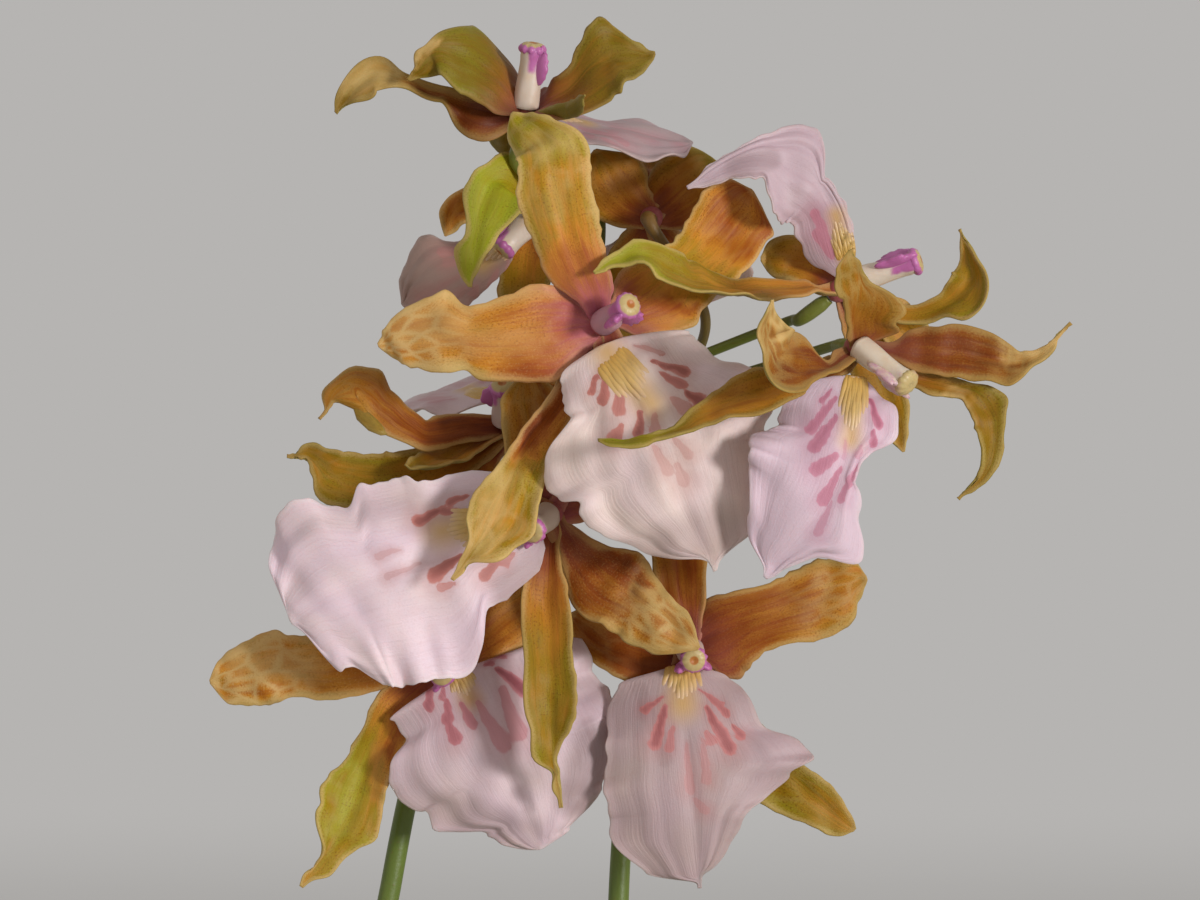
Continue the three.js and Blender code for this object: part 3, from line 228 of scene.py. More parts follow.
  "right": {
    "heart": [51, -24, 20], "facing": [0.3, -1, -0.05], "column": [9.4, -7.5, -7.4],
    "tepals": [
      {"cup": 0.2, "wave": [0.7, 1.8, 0.4], "path": [[8.8, 1, -0.8], [18.6, 1, -1.2], [28.4, 1, -2.7],
      [34.5, 1, -1.6], [41.5, 2, 4.9]], "face": [[0, -1, 0.3], [0, -1, 0.3], [0.4, -1, 0.6]], "outline": [[0, 2, 2],
      [0.04, 1.8, 1.8], [0.15, 2, 2], [0.21, 3.3, 4.6], [0.27, 4, 5.4], [0.33, 4.7, 5], [0.39, 5.1, 5.6],
      [0.51, 4.7, 5.3], [0.63, 5.5, 3.2], [0.75, 2.1, 1.8], [0.87, 1.6, 0.5], [0.92, 0.2, 0.5], [0.96, 0.1, 0.4],
      [1, 0.4, 0.4]]},
      {"cup": 0.3, "wave": [0.8, 1.6, 0], "path": [[-7.2, -7, -4], [-14.2, -15, -4.1], [-18.6, -19, 1.2],
      [-17.9, -22, 8.9]], "face": [[0.2, -0.6, 0.8], [0.4, -0.7, 0.6], [0.7, -0.7, 0]], "outline": [[0, 0.7, 2],
      [0.05, 1.8, 2.3], [0.12, 1.8, 2.7], [0.2, 1.8, 2.3], [0.28, 8.3, 2.2], [0.36, 8.9, 3.1], [0.44, 9, 4.6],
      [0.6, 7.1, 10], [0.68, 6.2, 8.5], [0.76, 5.2, 4.4], [0.84, 3.9, 4.1], [0.91, 1.8, 1.7], [0.96, 0.7, 0.6],
      [1, 0.4, 0.4]]},
      {"cup": 0.25, "wave": [0.6, 1.6, 0], "path": [[-0.8, -3, 5], [-0.1, -7, 11.6], [-2.5, -12, 18.8]],
      "face": [[0.1, -1, 0.2], [0.2, -1, 0.3]], "outline": [[0, 2, 2], [0.05, 1.8, 1.8], [0.2, 7.8, 1.8],
      [0.36, 7.4, 2.3], [0.44, 7.7, 2.8], [0.52, 8.8, 3.4], [0.6, 6.8, 4.1], [0.68, 2.2, 5.3], [0.76, 1.4, 6],
      [0.91, 0.6, 5.2], [0.96, 0.3, 4.1], [1, 0.4, 0.4]]},
      {"cup": 0.25, "wave": [0.5, 1.6, 0], "path": [[9.9, 2, -5.7], [20.7, 2, -8.6], [25.9, 1, -15.1],
      [24.5, 0, -23.9], [19.2, 0, -29.6]], "face": [[0, -1, 0.3], [0.3, -1, 0.3], [0.2, -1, 0]],
      "outline": [[0, 2, 2], [0.04, 1.8, 1.8], [0.21, 1.8, 1.8], [0.27, 2.7, 2], [0.39, 2.1, 2.3], [0.51, 3.4, 4.4],
      [0.57, 3.8, 3.1], [0.63, 3.8, 2.5], [0.81, 1, 1.8], [0.96, 0.1, 0.5], [1, 0.4, 0.4]]},
      {"cup": 0.2, "wave": [0.5, 1.6, 0], "path": [[-7.1, -1, -5.3], [-16.9, -7, -8.3], [-28.7, -11, -11.8],
      [-38.4, -15, -16.9], [-51.4, -17, -18.1]], "face": [[0, -1, 0.5], [0, -1, 0.5], [0, -0.8, 0.8]],
      "outline": [[0, 0.9, 2], [0.04, 1.8, 2.4], [0.09, 2, 2.9], [0.21, 3.7, 2.5], [0.39, 5.3, 3.5],
      [0.45, 5.2, 4.7], [0.51, 4.7, 4.4], [0.63, 2.4, 3.6], [0.81, 1, 1.2], [0.87, 0.3, 2.6], [0.96, 0.3, 2.5],
      [1, 0.4, 0.4]]},
    ],
    "lip": {"cup": -0.14, "wave": [1.2, 4, 0.8], "path": [[-2.6, -4, -5.7], [-2.6, -10, -18.1], [-7.2, -13, -31.2],
      [-18.9, -9, -44.9]], "face": [[0.1, -1, 0.1], [0.05, -1, 0], [0, -1, -0.1]], "outline": [[0, 3, 3],
      [0.03, 8.1, 4.5], [0.1, 12.1, 6.5], [0.15, 13.2, 9.3], [0.25, 14.1, 9.5], [0.3, 14.1, 8.5], [0.35, 16, 5.5],
      [0.39, 18.5, 4.3], [0.43, 18.8, 3.5], [0.51, 18.6, 3], [0.55, 18.4, 4.9], [0.63, 17.8, 6.4], [0.71, 17, 10.6],
      [0.76, 15.9, 11.5], [0.81, 13.9, 6], [0.86, 11.2, 3.9], [0.9, 10.1, 2.4], [0.94, 7.4, 1.8], [0.97, 2.1, 1.4],
      [1, 0.4, 0.4]]},
  },
  "high_right": {
    "heart": [50.4, 2, 33.6], "facing": [0.7, -0.3, 0.5], "column": [13.6, -2.4, 4.4],
    "tepals": [
      {"cup": 0.2, "wave": [0.6, 1.8, 0], "path": [[-10.5, -6, -1.3], [-22.7, -13, -1.5], [-32.7, -20, 0.1],
      [-42.5, -24, 4.9], [-51.6, -27, 1.1]], "face": [[0, -0.6, 1], [0, -0.6, 1], [0, -0.9, 0.6]],
      "outline": [[0, 2.6, 1.8], [0.04, 2.1, 1.8], [0.09, 1.9, 1.9], [0.21, 2.6, 4.3], [0.39, 3.6, 8.2],
      [0.51, 6.8, 8.6], [0.57, 6.6, 7.8], [0.69, 4.5, 6.3], [0.75, 3.8, 6], [0.92, 1.7, 1.1], [0.96, 1.2, 0.8],
      [1, 0.4, 0.4]]},
      {"cup": 0.3, "wave": [0.5, 1.6, 0], "path": [[9.8, 2, -6.1], [19.7, 0, -3.8], [24.5, 0, 1.5],
      [21.8, 2, 10.7]], "face": [[0, -1, 0.3], [-0.5, -1, 0.5], [-1, -1, 0]], "outline": [[0, 2, 2], [0.05, 1.8, 2],
      [0.2, 1.8, 1.8], [0.28, 2.9, 1.8], [0.44, 3.4, 2.1], [0.52, 6.2, 3.3], [0.6, 7.1, 4], [0.68, 5.8, 4.2],
      [0.76, 3.4, 4.3], [0.84, 1.9, 3.3], [0.96, 0.2, 0.5], [1, 0.4, 0.4]]},
      {"kind": "sepal", "wide": 10, "cup": 0.15, "wave": [0.6, 1.8, 0], "path": [[2.6, 8, -10], [7, 11, -22],
      [11, 11, -34]]},
      {"kind": "petal", "wide": 9, "cup": 0.15, "wave": [0.6, 1.8, 0], "path": [[8, 6, -7], [15, 8, -14.6],
      [21, 8, -23]]},
      {"kind": "petal", "wide": 10, "cup": 0.15, "wave": [0.6, 1.8, 0], "path": [[-6, 4, 3], [-12, 6, 5],
      [-18, 8, 5]]},
    ],
    "lip": {"cup": -0.1, "wave": [1, 3, 0.4], "path": [[-0.6, -0.6, 1.2], [-3.9, -3.6, 15.3], [-10.5, -6, 21.8],
      [-20.6, -9, 24.5], [-33.1, -10, 18.5]], "face": [[-0.2, -1, 0.2], [-0.1, -1, 0.3], [0, -1, 0.4]],
      "outline": [[0, 2.5, 2.5], [0.03, 2.3, 4.4], [0.06, 2.2, 7.1], [0.15, 2.6, 8.9], [0.25, 2.2, 8.9],
      [0.35, 2.4, 10], [0.39, 2.5, 10.2], [0.47, 8.8, 10.8], [0.55, 9.7, 9.9], [0.63, 7.3, 7.1], [0.67, 5.8, 4.2],
      [0.76, 3, 4], [0.9, 1.9, 1.9], [0.97, 0.7, 0.7], [1, 0.4, 0.4]]},
  },
  "top": {
    "heart": [-15, 8, 69], "facing": [0.1, -0.5, 1], "column": [1.6, -3, 12.4],
    "tepals": [
      {"cup": -0.2, "wave": [1, 1.8, 0], "path": [[-5.1, -3, 5.3], [-11.4, -6, 9.5], [-18.6, -8, 11],
      [-23.4, -7, 5.1]], "face": [[0, -0.5, 1], [0.2, -1, 0.6], [0.2, -1, 0]], "outline": [[0, 2, 2],
      [0.05, 4.6, 2.5], [0.12, 9.3, 5.3], [0.2, 9.5, 6.8], [0.44, 10.4, 7.8], [0.52, 9, 7.8], [0.68, 4, 5.4],
      [0.76, 1.9, 5.2], [0.84, 1.8, 5.2], [0.91, 0.3, 4], [0.96, 0.2, 1.8], [1, 0.4, 0.4]]},
      {"cup": 0.2, "wave": [0.6, 1.8, 0], "path": [[-8.7, -1, -0.6], [-16.2, -1, 2], [-24.2, -1, 5],
      [-31.3, -1, 6.2], [-38.2, 0, -1.2]], "face": [[0, -1, 0], [0, -1, 0.3], [-0.2, -1, 0.3]],
      "outline": [[0, 2, 2], [0.04, 3.9, 1.8], [0.15, 3.3, 6.2], [0.21, 2.9, 6.8], [0.27, 2.6, 5.5], [0.39, 2, 1.8],
      [0.45, 1.8, 1.8], [0.63, 1.8, 1.7], [0.75, 3.6, 4], [0.87, 3.4, 3.8], [0.96, 1.9, 0.4], [1, 0.4, 0.4]]},
      {"cup": 0.2, "wave": [1, 1.8, 0], "path": [[7, -2, 1.9], [14, -3, 7.8], [19.4, -3, 10.4], [26.1, -1, 10.8]],
      "face": [[0, -0.5, 1], [-0.2, -1, 0.6], [0.3, -1, 0.5]], "outline": [[0, 2, 1.6], [0.05, 1.8, 4.6],
      [0.12, 4.6, 7], [0.2, 7.9, 5.9], [0.36, 8.9, 4], [0.52, 9, 6.2], [0.6, 9.4, 7.6], [0.68, 7.5, 8.8],
      [0.76, 7.5, 6.4], [0.84, 6, 3.2], [0.96, 2.3, 1], [1, 0.4, 0.4]]},
      {"kind": "sepal", "wide": 3.4, "cup": 0.3, "wave": [0.3, 1.6, 0], "path": [[6, -7, -1.6], [10, -15, -1],
      [12, -24, 1]], "face": [[1, 0, 0.4]]},
      {"kind": "sepal", "wide": 11, "cup": 0.15, "wave": [0.6, 1.8, 0], "path": [[-2, 8, -1], [-4, 19, -3],
      [-5, 29, -8]], "face": [[0, 0.3, 1]]},
    ],
    "lip": {"cup": -0.12, "wave": [1, 3, 0], "path": [[2.2, 0.6, -0.6], [12, 3.6, -3.4], [23.4, 7, -4.8],
      [33.8, 9, -6.6]], "face": [[0, -0.35, 1]], "outline": [[0, 3, 3], [0.12, 8, 8], [0.28, 10, 10],
      [0.42, 13, 13], [0.62, 14, 14], [0.8, 12, 12], [0.93, 7, 7], [1, 0.6, 0.6]]},
  },
  "back_left": {
    "heart": [-13.6, 20, 47], "facing": [-0.8, -0.2, -0.3], "column": [-6.4, -1.6, -6.4],
    "tepals": [
      {"cup": 0.25, "wave": [0.8, 1.8, 0], "path": [[-6.6, -7, 7.6], [-10.6, -10, 0.4], [-12.6, -11, -14.2]],
      "face": [[0.1, -1, 0.6], [0, -1, 0.3], [0, -1, 0]], "outline": [[0, 2, 2], [0.05, 2.7, 3.6], [0.12, 3.6, 4],
      [0.2, 4.7, 6], [0.28, 6.4, 7.5], [0.36, 4.2, 8.2], [0.44, 4.3, 8.4], [0.6, 4.1, 8], [0.76, 2.1, 4.6],
      [0.84, 3.6, 3], [0.91, 3.4, 1.5], [0.96, 2, 0.5], [1, 0.4, 0.4]]},
      {"kind": "sepal", "wide": 10, "cup": 0.2, "wave": [0.6, 1.8, 0], "path": [[-2, 6, 6], [-4, 14, 9],
      [-6, 22, 9]], "face": [[0, -0.4, 1]]},
      {"kind": "sepal", "wide": 7, "cup": 0.2, "wave": [0.4, 1.6, 0], "path": [[-8, 2, 4], [-15, 3, 2],
      [-18, 3, -3.4]]},
      {"kind": "petal", "wide": 11, "cup": 0.15, "wave": [0.6, 1.8, 0], "path": [[3, 6, 3], [5, 13, 3], [6, 20, 0]],
      "face": [[0.6, 0, 1]]},
      {"kind": "petal", "wide": 11, "cup": 0.15, "wave": [0.6, 1.8, 0], "path": [[-1, 5, -7], [-2, 9, -15],
      [-3, 12, -23]]},
    ],
    "lip": {"cup": -0.12, "wave": [0.8, 3, 0], "path": [[-5.4, 3, -5.2], [-12.9, 5, -9.8], [-19.4, 4, -12.9],
      [-26.7, 2, -17.5]], "face": [[-0.3, -1, 0.5], [-0.4, -1, 0.3], [-0.5, -1, 0.2]], "outline": [[0, 3, 3],
      [0.05, 4.4, 3.9], [0.36, 8.3, 6.1], [0.52, 11.3, 7.1], [0.68, 10.7, 7.4], [0.84, 7, 6.9], [0.91, 4.4, 6.3],
      [0.96, 2.1, 4.8], [1, 0.4, 0.4]]},
  },
  "back_right": {
    "heart": [10.4, 20, 47.6], "facing": [0, 1, 0.2], "column": [0.6, 11, 3],
    "tepals": [
      {"kind": "sepal", "wide": 15, "cup": -0.2, "wave": [0.6, 1.8, 0], "path": [[-5, -3, 3], [-9, -4, 8],
      [-11.4, -2, 13.4]]},
      {"kind": "petal", "wide": 15, "cup": -0.2, "wave": [0.6, 1.8, 0], "path": [[5, -1, 4], [10, -1, 8],
      [14, 1, 10.4]]},
      {"kind": "petal", "wide": 13, "cup": -0.15, "wave": [0.6, 1.8, 0], "path": [[0, 2, 6], [0, 5, 10],
      [1, 10, 13]], "face": [[0, -1, 1]]},
      {"kind": "sepal", "wide": 10, "cup": -0.15, "wave": [0.6, 1.8, 0], "path": [[-4, 3, -8], [-5, 5, -17],
      [-5, 6, -26]]},
      {"kind": "sepal", "wide": 10, "cup": -0.15, "wave": [0.6, 1.8, 0], "path": [[4, 3, -7], [6, 4, -14],
      [7, 5, -21]]},
    ],
    "lip": {"cup": -0.15, "wave": [1.2, 3, 0], "path": [[0, 4, -2], [1, 12, -5], [2, 20, -11], [2, 27, -19]],
      "face": [[0, 0.8, 0.6]], "outline": [[0, 3, 3], [0.12, 9, 9], [0.28, 12, 12], [0.42, 17, 17], [0.62, 19, 19],
      [0.8, 15, 15], [0.93, 8, 8], [1, 0.6, 0.6]]},
  },
}

# The line of each flower stalk; then for each bloom where its pedicel leaves the stalk, and what it passes.
SCAPES = {
    "left": ([[-24.5, 9, SCAPE_FOOT_Z], [-26, 10, 150], [-42, 12, 250], [-50, 10, 340], [-42, 9, 393], [-35, 11, 425],
        [-25, 19, 455], [-10, 24, 485], [-3, 26, 508]], {"low_left": (0.6, [-35, 10, 431]),
        "left": (0.72, [-15, 8, 465]), "mid_left": (0.84, [-11, 21, 480]), "back_left": (0.99, [0, 25, 522]),
        "top": (0.98, [-4, 12, 528])}),
    "right": ([[21.5, 9, SCAPE_FOOT_Z], [20, 11, 160], [12, 15, 260], [4, 13, 350], [5, 14, 410], [12, 20, 450],
        [17, 26, 480], [19, 28, 500]], {"low_right": (0.68, [16, 8, 438]), "front": (0.8, [5, 2, 498]),
        "right": (0.94, [44, -4, 500]), "high_right": (0.99, [38, 16, 506]), "back_right": (0.97, [21, 11, 508])}),
}

# What the rhizome passes, and the outline of a leaf, as shares of its length and half-width.
RHIZOME = [[-45, -6], [-30, 0], [-10, -3], [12, -4], [32, 0], [44, 6]]
LEAF_OUTLINE = [[0, 0.24, 0.24], [0.1, 0.42, 0.42], [0.25, 0.8, 0.8], [0.45, 1, 1], [0.7, 0.94, 0.94],
    [0.88, 0.6, 0.6], [1, 0.06, 0.06]]

# Where each bulb stands, which way its flat side is turned, and its height against the common one.
BULBS = [((-37, -3), 72, 0.84), ((-13, -4), 98, 0.95), ((10, -5), 84, 1.06), ((33, -1), 104, 1)]

# Where each leaf starts, on a bulb of that number or at a place on the bark; then its heading, length
# and width, and how far it reaches and climbs for its length.
LEAVES = [(0, 195, 225, 23, 0.62, 0.66), (1, 238, 255, 25, 0.58, 0.7), (1, 84, 265, 24, 0.56, 0.72),
    (2, 272, 270, 26, 0.58, 0.7), (3, 308, 260, 25, 0.6, 0.68), (3, 58, 265, 25, 0.6, 0.68),
    ((-49, 9), 168, 190, 20, 0.66, 0.62), ((-34, 30), 130, 205, 21, 0.62, 0.66), ((22, 34), 70, 200, 20, 0.6, 0.68),
    ((-28, -30), 222, 190, 20, 0.66, 0.6), ((24, -32), 292, 195, 20, 0.64, 0.64),
    ((49, -8), 352, 200, 21, 0.62, 0.68)]

# How each sepal and petal is coloured, in the order of its bloom's blades: tone at foot, middle and
# tip (0 dark rust, 0.18 rust, 0.4 amber, 0.65 olive, 1 lime), then pale netting near the tip and flush.
TEPAL_LOOKS = {
    "front": [(0.14, 0.5, 0.76, 0.3, 1), (0.22, 0.38, 0.4, 1, 0.65), (0.2, 0.5, 0.12, 0.1, 0.5),
        (0.1, 0.6, 0.56, 0.4, 0.1), (0.2, 0.4, 0.5, 0.2, 0.3)],
    "left": [(0.1, 0.26, 0.4, 1, 0.2), (0.15, 0.62, 0.64, 0.1, 0.1), (0.2, 0.3, 0.4, 0.3, 0.6),
        (0.2, 0.3, 0.4, 0.3, 0.6), (0.2, 0.4, 0.5, 0.2, 0.3)],
    "low_left": [(0.12, 0.4, 0.44, 1, 0.3), (0.15, 0.74, 0.6, 0.1, 0.2), (0.3, 0.5, 0.5, 0.2, 0.5),
        (0.2, 0.3, 0.4, 0.3, 0.5), (0.2, 0.5, 0.6, 0.2, 0.3)],
    "low_right": [(0.12, 0.28, 0.46, 0.5, 0.25), (0.08, 0.15, 0.3, 0.2, 0.4), (0.15, 0.26, 0.34, 0.1, 0.6),
        (0.35, 0.6, 0.58, 0.2, 0.1), (0.2, 0.5, 0.6, 0.2, 0.3)],
    "mid_left": [(0.02, 0.22, 0.46, 0.2, 0.1), (0.3, 0.6, 0.58, 0.2, 0.1), (0.1, 0.42, 0.6, 0.1, 0.1),
        (0.1, 0.4, 0.5, 0.2, 0.3), (0.05, 0.2, 0.4, 0.2, 0.5)],
    "right": [(0.1, 0.2, 0.46, 0.6, 0.5), (0.15, 0.24, 0.34, 1, 0.2), (0.3, 0.4, 0.5, 0.7, 0.4),
        (0.3, 0.58, 0.62, 0.1, 0.1), (0.2, 0.4, 0.9, 0.1, 0.1)],
    "high_right": [(0.14, 0.56, 1, 0.1, 0.2), (0.4, 0.6, 0.6, 0.1, 0.1), (0.2, 0.5, 0.6, 0.2, 0.3),
        (0.2, 0.5, 0.6, 0.2, 0.3), (0.1, 0.4, 0.5, 0.2, 0.3)],
    "top": [(0.4, 0.74, 0.62, 0.2, 0.6), (0.1, 0.24, 0.6, 0.5, 0.2), (0.4, 0.6, 0.66, 0.2, 0.9),
        (0.5, 0.6, 0.6, 0, 0), (0.2, 0.5, 0.6, 0.2, 0.3)],
    "back_left": [(0.62, 0.96, 1, 0.1, 0), (0.3, 0.6, 0.7, 0.2, 0.2), (0.1, 0.3, 0.4, 0.1, 0.1),
        (0.2, 0.5, 0.6, 0.2, 0.3), (0.2, 0.5, 0.6, 0.2, 0.3)],
    "back_right": [(0.15, 0.34, 0.55, 0.2, 0.1), (0.1, 0.36, 0.75, 0.2, 0.1), (0.1, 0.3, 0.6, 0.4, 0.2),
        (0.2, 0.5, 0.6, 0.2, 0.2), (0.2, 0.5, 0.6, 0.2, 0.2)],
}

# Places below are in mm from a bloom's heart as seen from the front: x and z of both ends.
# Patches of another tone on a sepal or petal, partly the blade's own colour and partly painted light and shade, then
# half-width, tone and how pale.
TEPAL_TONE_AND_LIGHT_PATCHES = {
    ("front", 0): [(-15.2, 27, -11.6, 17, 1.8, 0.62, 0.2), (-6.6, 37.6, -12.6, 34.6, 3.6, 0.72, 0.4),
        (-8.6, 27.6, -9.6, 21.6, 2.4, 0.6, 0.3), (-3.2, 32.6, -2.2, 21.6, 1.4, 0.5, 0.3),
        (-6.2, 13.6, -2.2, 6.6, 3.2, 0.26, 0)],
    ("front", 1): [(-20.6, -10.2, -10.6, -9.8, 2.4, 0.22, 0), (-38.6, -1.4, -30.6, -1, 4.8, 0.36, 0.6),
        (-26.6, -3.8, -14.6, -3, 3.2, 0.36, 0.35)],
    ("front", 2): [(26.8, 25, 28.4, 17, 4.8, 0.28, 0), (17.4, 13, 13.4, 9.6, 3.2, 0.62, 0),
        (9.4, 3.6, 19.4, 2.2, 2, 0.2, 0)],
    ("front", 3): [(-8.6, -14.4, -15, -23.4, 5.2, 0.12, 0), (-20.6, -31.4, -23.8, -44.4, 3.6, 0.6, 0.6)],
    ("left", 0): [(18.5, -15.3, 28.5, -25.3, 2.4, 0.34, 0.5), (10.5, -8.9, 18.5, -11.9, 2.8, 0.12, 0)],
    ("low_left", 0): [(-43.1, -5.9, -32.5, -5.5, 1.6, 0.34, 0), (-35.9, 5.1, -29.9, 4.5, 1.4, 0.34, 0),
        (-41.5, 0.1, -27.5, -1.5, 3.2, 0.38, 0.6)],
    ("low_left", 1): [(-9.5, -10.5, -12.3, -23.5, 2.8, 0.2, 0), (-19.1, -21.5, -22.3, -33.5, 2.4, 0.9, 0.1),
        (-13.9, -17.5, -13.5, -33.5, 1.8, 0.5, 0.2)],
    ("high_right", 0): [(-1.3, -1.1, -24.3, -0.3, 3.2, 0.46, 0)],
    ("top", 0): [(-18.7, 13.1, -22.7, 8.7, 1.6, 0.5, 0.9)],
    ("top", 1): [(-35.9, 5.5, -26.7, 6.7, 4, 0.66, 0.95), (-9.1, -0.9, -14.1, -3.3, 3.2, 0.05, 0)],
    ("right", 0): [(30.4, -2, 40, 1.6, 2.4, 0.4, 0.8)],
    ("right", 1): [(-19, 0.6, -15, 2.6, 4, 0.3, 0.5), (-17.4, 8.8, -16, 2.4, 1.6, 0.6, 1.2)],
    ("right", 3): [(19.4, -10.2, 17, -12.4, 2.8, 0.45, 0.9)],
}

# Rose marks on a lip, then width and strength.
LIP_MARKS = {
    "front": [(-0.6, -9, -2.4, -14.2, 1.4, 1), (0.8, -9.8, 0, -15.4, 2.2, 1), (3, -12.4, 3.2, -17.4, 2.6, 0.9),
        (7.6, -17.6, 7, -22, 2.4, 1.2), (10.4, -18.4, 10.4, -21.4, 2.2, 0.6), (3.6, -20.8, 2.6, -22.8, 3, 0.9),
        (6.2, -4.6, 11.8, -6.2, 1, 0.5), (9.8, -7.8, 16.4, -10, 2, 1.3), (11.4, -10, 15.6, -12.4, 2, 1),
        (16.6, -14, 19.4, -15.8, 2.8, 1.4), (13.8, -15, 16.4, -17.4, 2.8, 0.6),
        (10, -24.6, 12.8, -29.4, 2.4, 0.35), (14.4, -23.4, 17, -26.4, 2, 0.35),
        (14.8, -28.4, 16, -31.4, 2.6, 0.35)],
    "left": [(-15.5, 3.9, -19.5, 2.5, 1.6, 1.2), (-16.9, 0.7, -20.9, 0.9, 1.8, 1.1),
        (-21.9, 0.7, -25.9, -1.1, 2.6, 1.3), (-17.3, -8.1, -22.7, -12.1, 2.8, 1.1),
        (-18.5, -13.5, -21.3, -14.5, 1.8, 0.7), (-9.3, -7.9, -12.7, -12.1, 2.4, 0.9),
        (-6.7, -7.3, -8.5, -9.9, 1.6, 0.8), (-25.5, -9.5, -31.9, -12.3, 1.6, 0.3),
        (-29.5, -6.9, -33.9, -8.1, 1.6, 0.3)],
    "low_left": [(-3.3, -4.3, -3.7, -8.9, 2, 1.1), (-0.9, -4.9, -0.9, -6.9, 1.6, 0.9),
        (-0.1, -7.9, 0.1, -11.5, 2.4, 1), (0.1, -11.5, 1.5, -15.1, 2.8, 1), (2.7, -8.3, 4.9, -12.5, 2, 0.9),
        (6.1, -8.3, 11.1, -16.3, 3.2, 0.7), (10.9, -5.5, 14.1, -14.1, 3.6, 0.7),
        (9.9, -1.3, 15.1, -5.5, 2.8, 1.5), (6.5, 1.5, 11.3, 1.1, 1.2, 1.4), (6.9, 3.7, 8.9, 4.1, 1.2, 1.2),
        (6.9, -0.9, 8.9, -0.3, 1, 1)],
    "low_right": [(-5.4, -9.5, -9, -12.1, 1.6, 1.1), (-5, -11.5, -7, -18.7, 2.8, 1.3),
        (-3.4, -15.5, -4.2, -19.5, 2, 0.8), (3.2, -11.5, 7.8, -19.5, 2.8, 1.3), (3, -8.7, 7.4, -12.9, 1.4, 1),
        (1.4, -7.9, 6.4, -10.9, 1, 0.9), (8.4, -15.1, 10.2, -17.1, 2, 1.1), (3, -16.5, 4.2, -18.1, 2, 0.8),
        (-0.8, -18.9, 0, -27.9, 2, 0.4), (2.4, -17.9, 3.4, -25.9, 2, 0.4), (1, -29.9, 3, -31.9, 1.8, 0.35)],
    "right": [(-5, -10, -9.8, -16.4, 2.4, 0.9), (-4.8, -14, -9, -19.8, 2.6, 0.9),
        (-5, -21.6, -8.8, -24.4, 3, 0.9), (-4, -24.2, -7.4, -30.4, 2.4, 0.9),
        (-0.6, -23.2, -3.8, -30.4, 1.6, 0.8), (-5.8, -31.2, -8.4, -36.8, 1.8, 0.5),
        (-5.8, -8.6, -7.6, -10.8, 1.2, 0.9), (1.8, -10.6, 3.6, -15.6, 1.8, 1.3),
        (2.4, -17, 2.6, -19.2, 1.8, 1.1), (-3, -18.4, -3.4, -22, 1, 0.4), (0.4, -19.8, -0.8, -21.8, 1, 0.4)],
    "high_right": [(-7.3, 13.9, -3.3, 5.5, 2, 0.8), (-6.9, 10.1, -3.9, 4.9, 2, 0.8)],
}

# The crest of a lip that is nearly hidden.
PLAIN_CREST = (-0.2, -3.6, 0, -13, 1.6, 3)

# Each lip's crest (root, tip, half-width at each), its lilac, how cool its marks are, and how far it goes over into
# tan, which is partly the lip's own colour and partly painted shade.
LIP_LOOKS = {
    "front": ((0.8, -6, 9.6, -16.2, 3.4, 4.2), 0.2, 0.1, 0),
    "left": ((-13.1, -1.3, -21.5, -3.3, 2.4, 4.4), 0.55, 0.15, 0),
    "low_left": ((1.5, -1.1, 4.5, -7.5, 1.6, 3.2), 0.55, 0.5, 0.05),
    "low_right": ((-1.6, -2.3, -1.6, -10.9, 2.4, 4.4), 0.5, 0.3, 0.15),
    "right": ((-0.8, -4.8, -2, -18.4, 1.8, 3.2), 0.9, 0.9, 0),
    "mid_left": (PLAIN_CREST, 0.5, 0.5, 0.1),
    "high_right": ((-1.1, 4.1, -3.1, 13.5, 1.6, 2.4), 0.8, 0.8, 0.1),
    "top": (PLAIN_CREST, 0.6, 0.5, 0.25),
    "back_left": (PLAIN_CREST, 0.2, 0.3, 0.7),
    "back_right": (PLAIN_CREST, 0.5, 0.5, 0.2),
}

# Patches of painted shade on a lip, then half-width and how dark the painted shade is.
LIP_PAINTED_SHADES = {
    "front": [(22.4, -41.4, 9.4, -48.4, 6.8, 0.75), (1.8, -20.4, 0.6, -29.4, 2.8, 0.4)],
    "left": [(-0.5, -5.9, -8.5, -14.9, 3.6, 0.7), (-15.5, 1.1, -33.5, 1.5, 4, 0.45),
        (-21.5, -14.9, -15.5, -26.9, 3.2, 0.35)],
    "low_left": [(25.5, -27.5, 28.5, -15.5, 4.4, 0.95), (0.5, -29.5, 14.5, -34.5, 5.2, 0.7),
        (22.5, -7.5, 28.5, -5.5, 3.2, 0.6)],
    "right": [(-19, -16.4, -12, -14.4, 4, 0.55), (5, -9.4, 2, -14.4, 2, 0.5)],
    "high_right": [(-23.3, 22.9, -16.3, 24.5, 3.2, 0.9)],
    "top": [(14.9, -2.1, 22.9, -4.1, 2, 0.95)],
    "low_right": [(-10, -7.9, -5, -21.9, 2.8, 0.85), (6, -21.9, 2, -39.9, 3.2, 0.75)],
}

# Single folds of a lip: how far along it in mm, which side, where across it starts, depth and width in mm.
LIP_FOLDS = {
    "front": [(16, -1, 0.4, 0.8, 1.6), (27, -1, 0.3, -1.2, 1.4), (12, 1, 0.5, -0.8, 2.0)],
    "left": [(24, 1, 0.2, -1.4, 1.8), (36, 1, 0.3, -1.2, 1.5), (30, -1, 0.3, -1.0, 1.6)],
    "right": [(16, -1, 0.5, -1.4, 1.2), (20, -1, 0.4, 1.0, 1.6)],
    "low_left": [(14, 1, 0.4, -0.8, 1.6), (24, 1, 0.5, 0.8, 2.0)],
    "low_right": [(20, 1, 0.4, -0.8, 1.6), (31, 1, 0.3, 0.8, 1.8)],
}

# The number that each bloom's fine folds, edges and ridges are drawn from.
SEEDS = {name: 1000 * (number + 1) for number, name in enumerate(BLOOMS)}
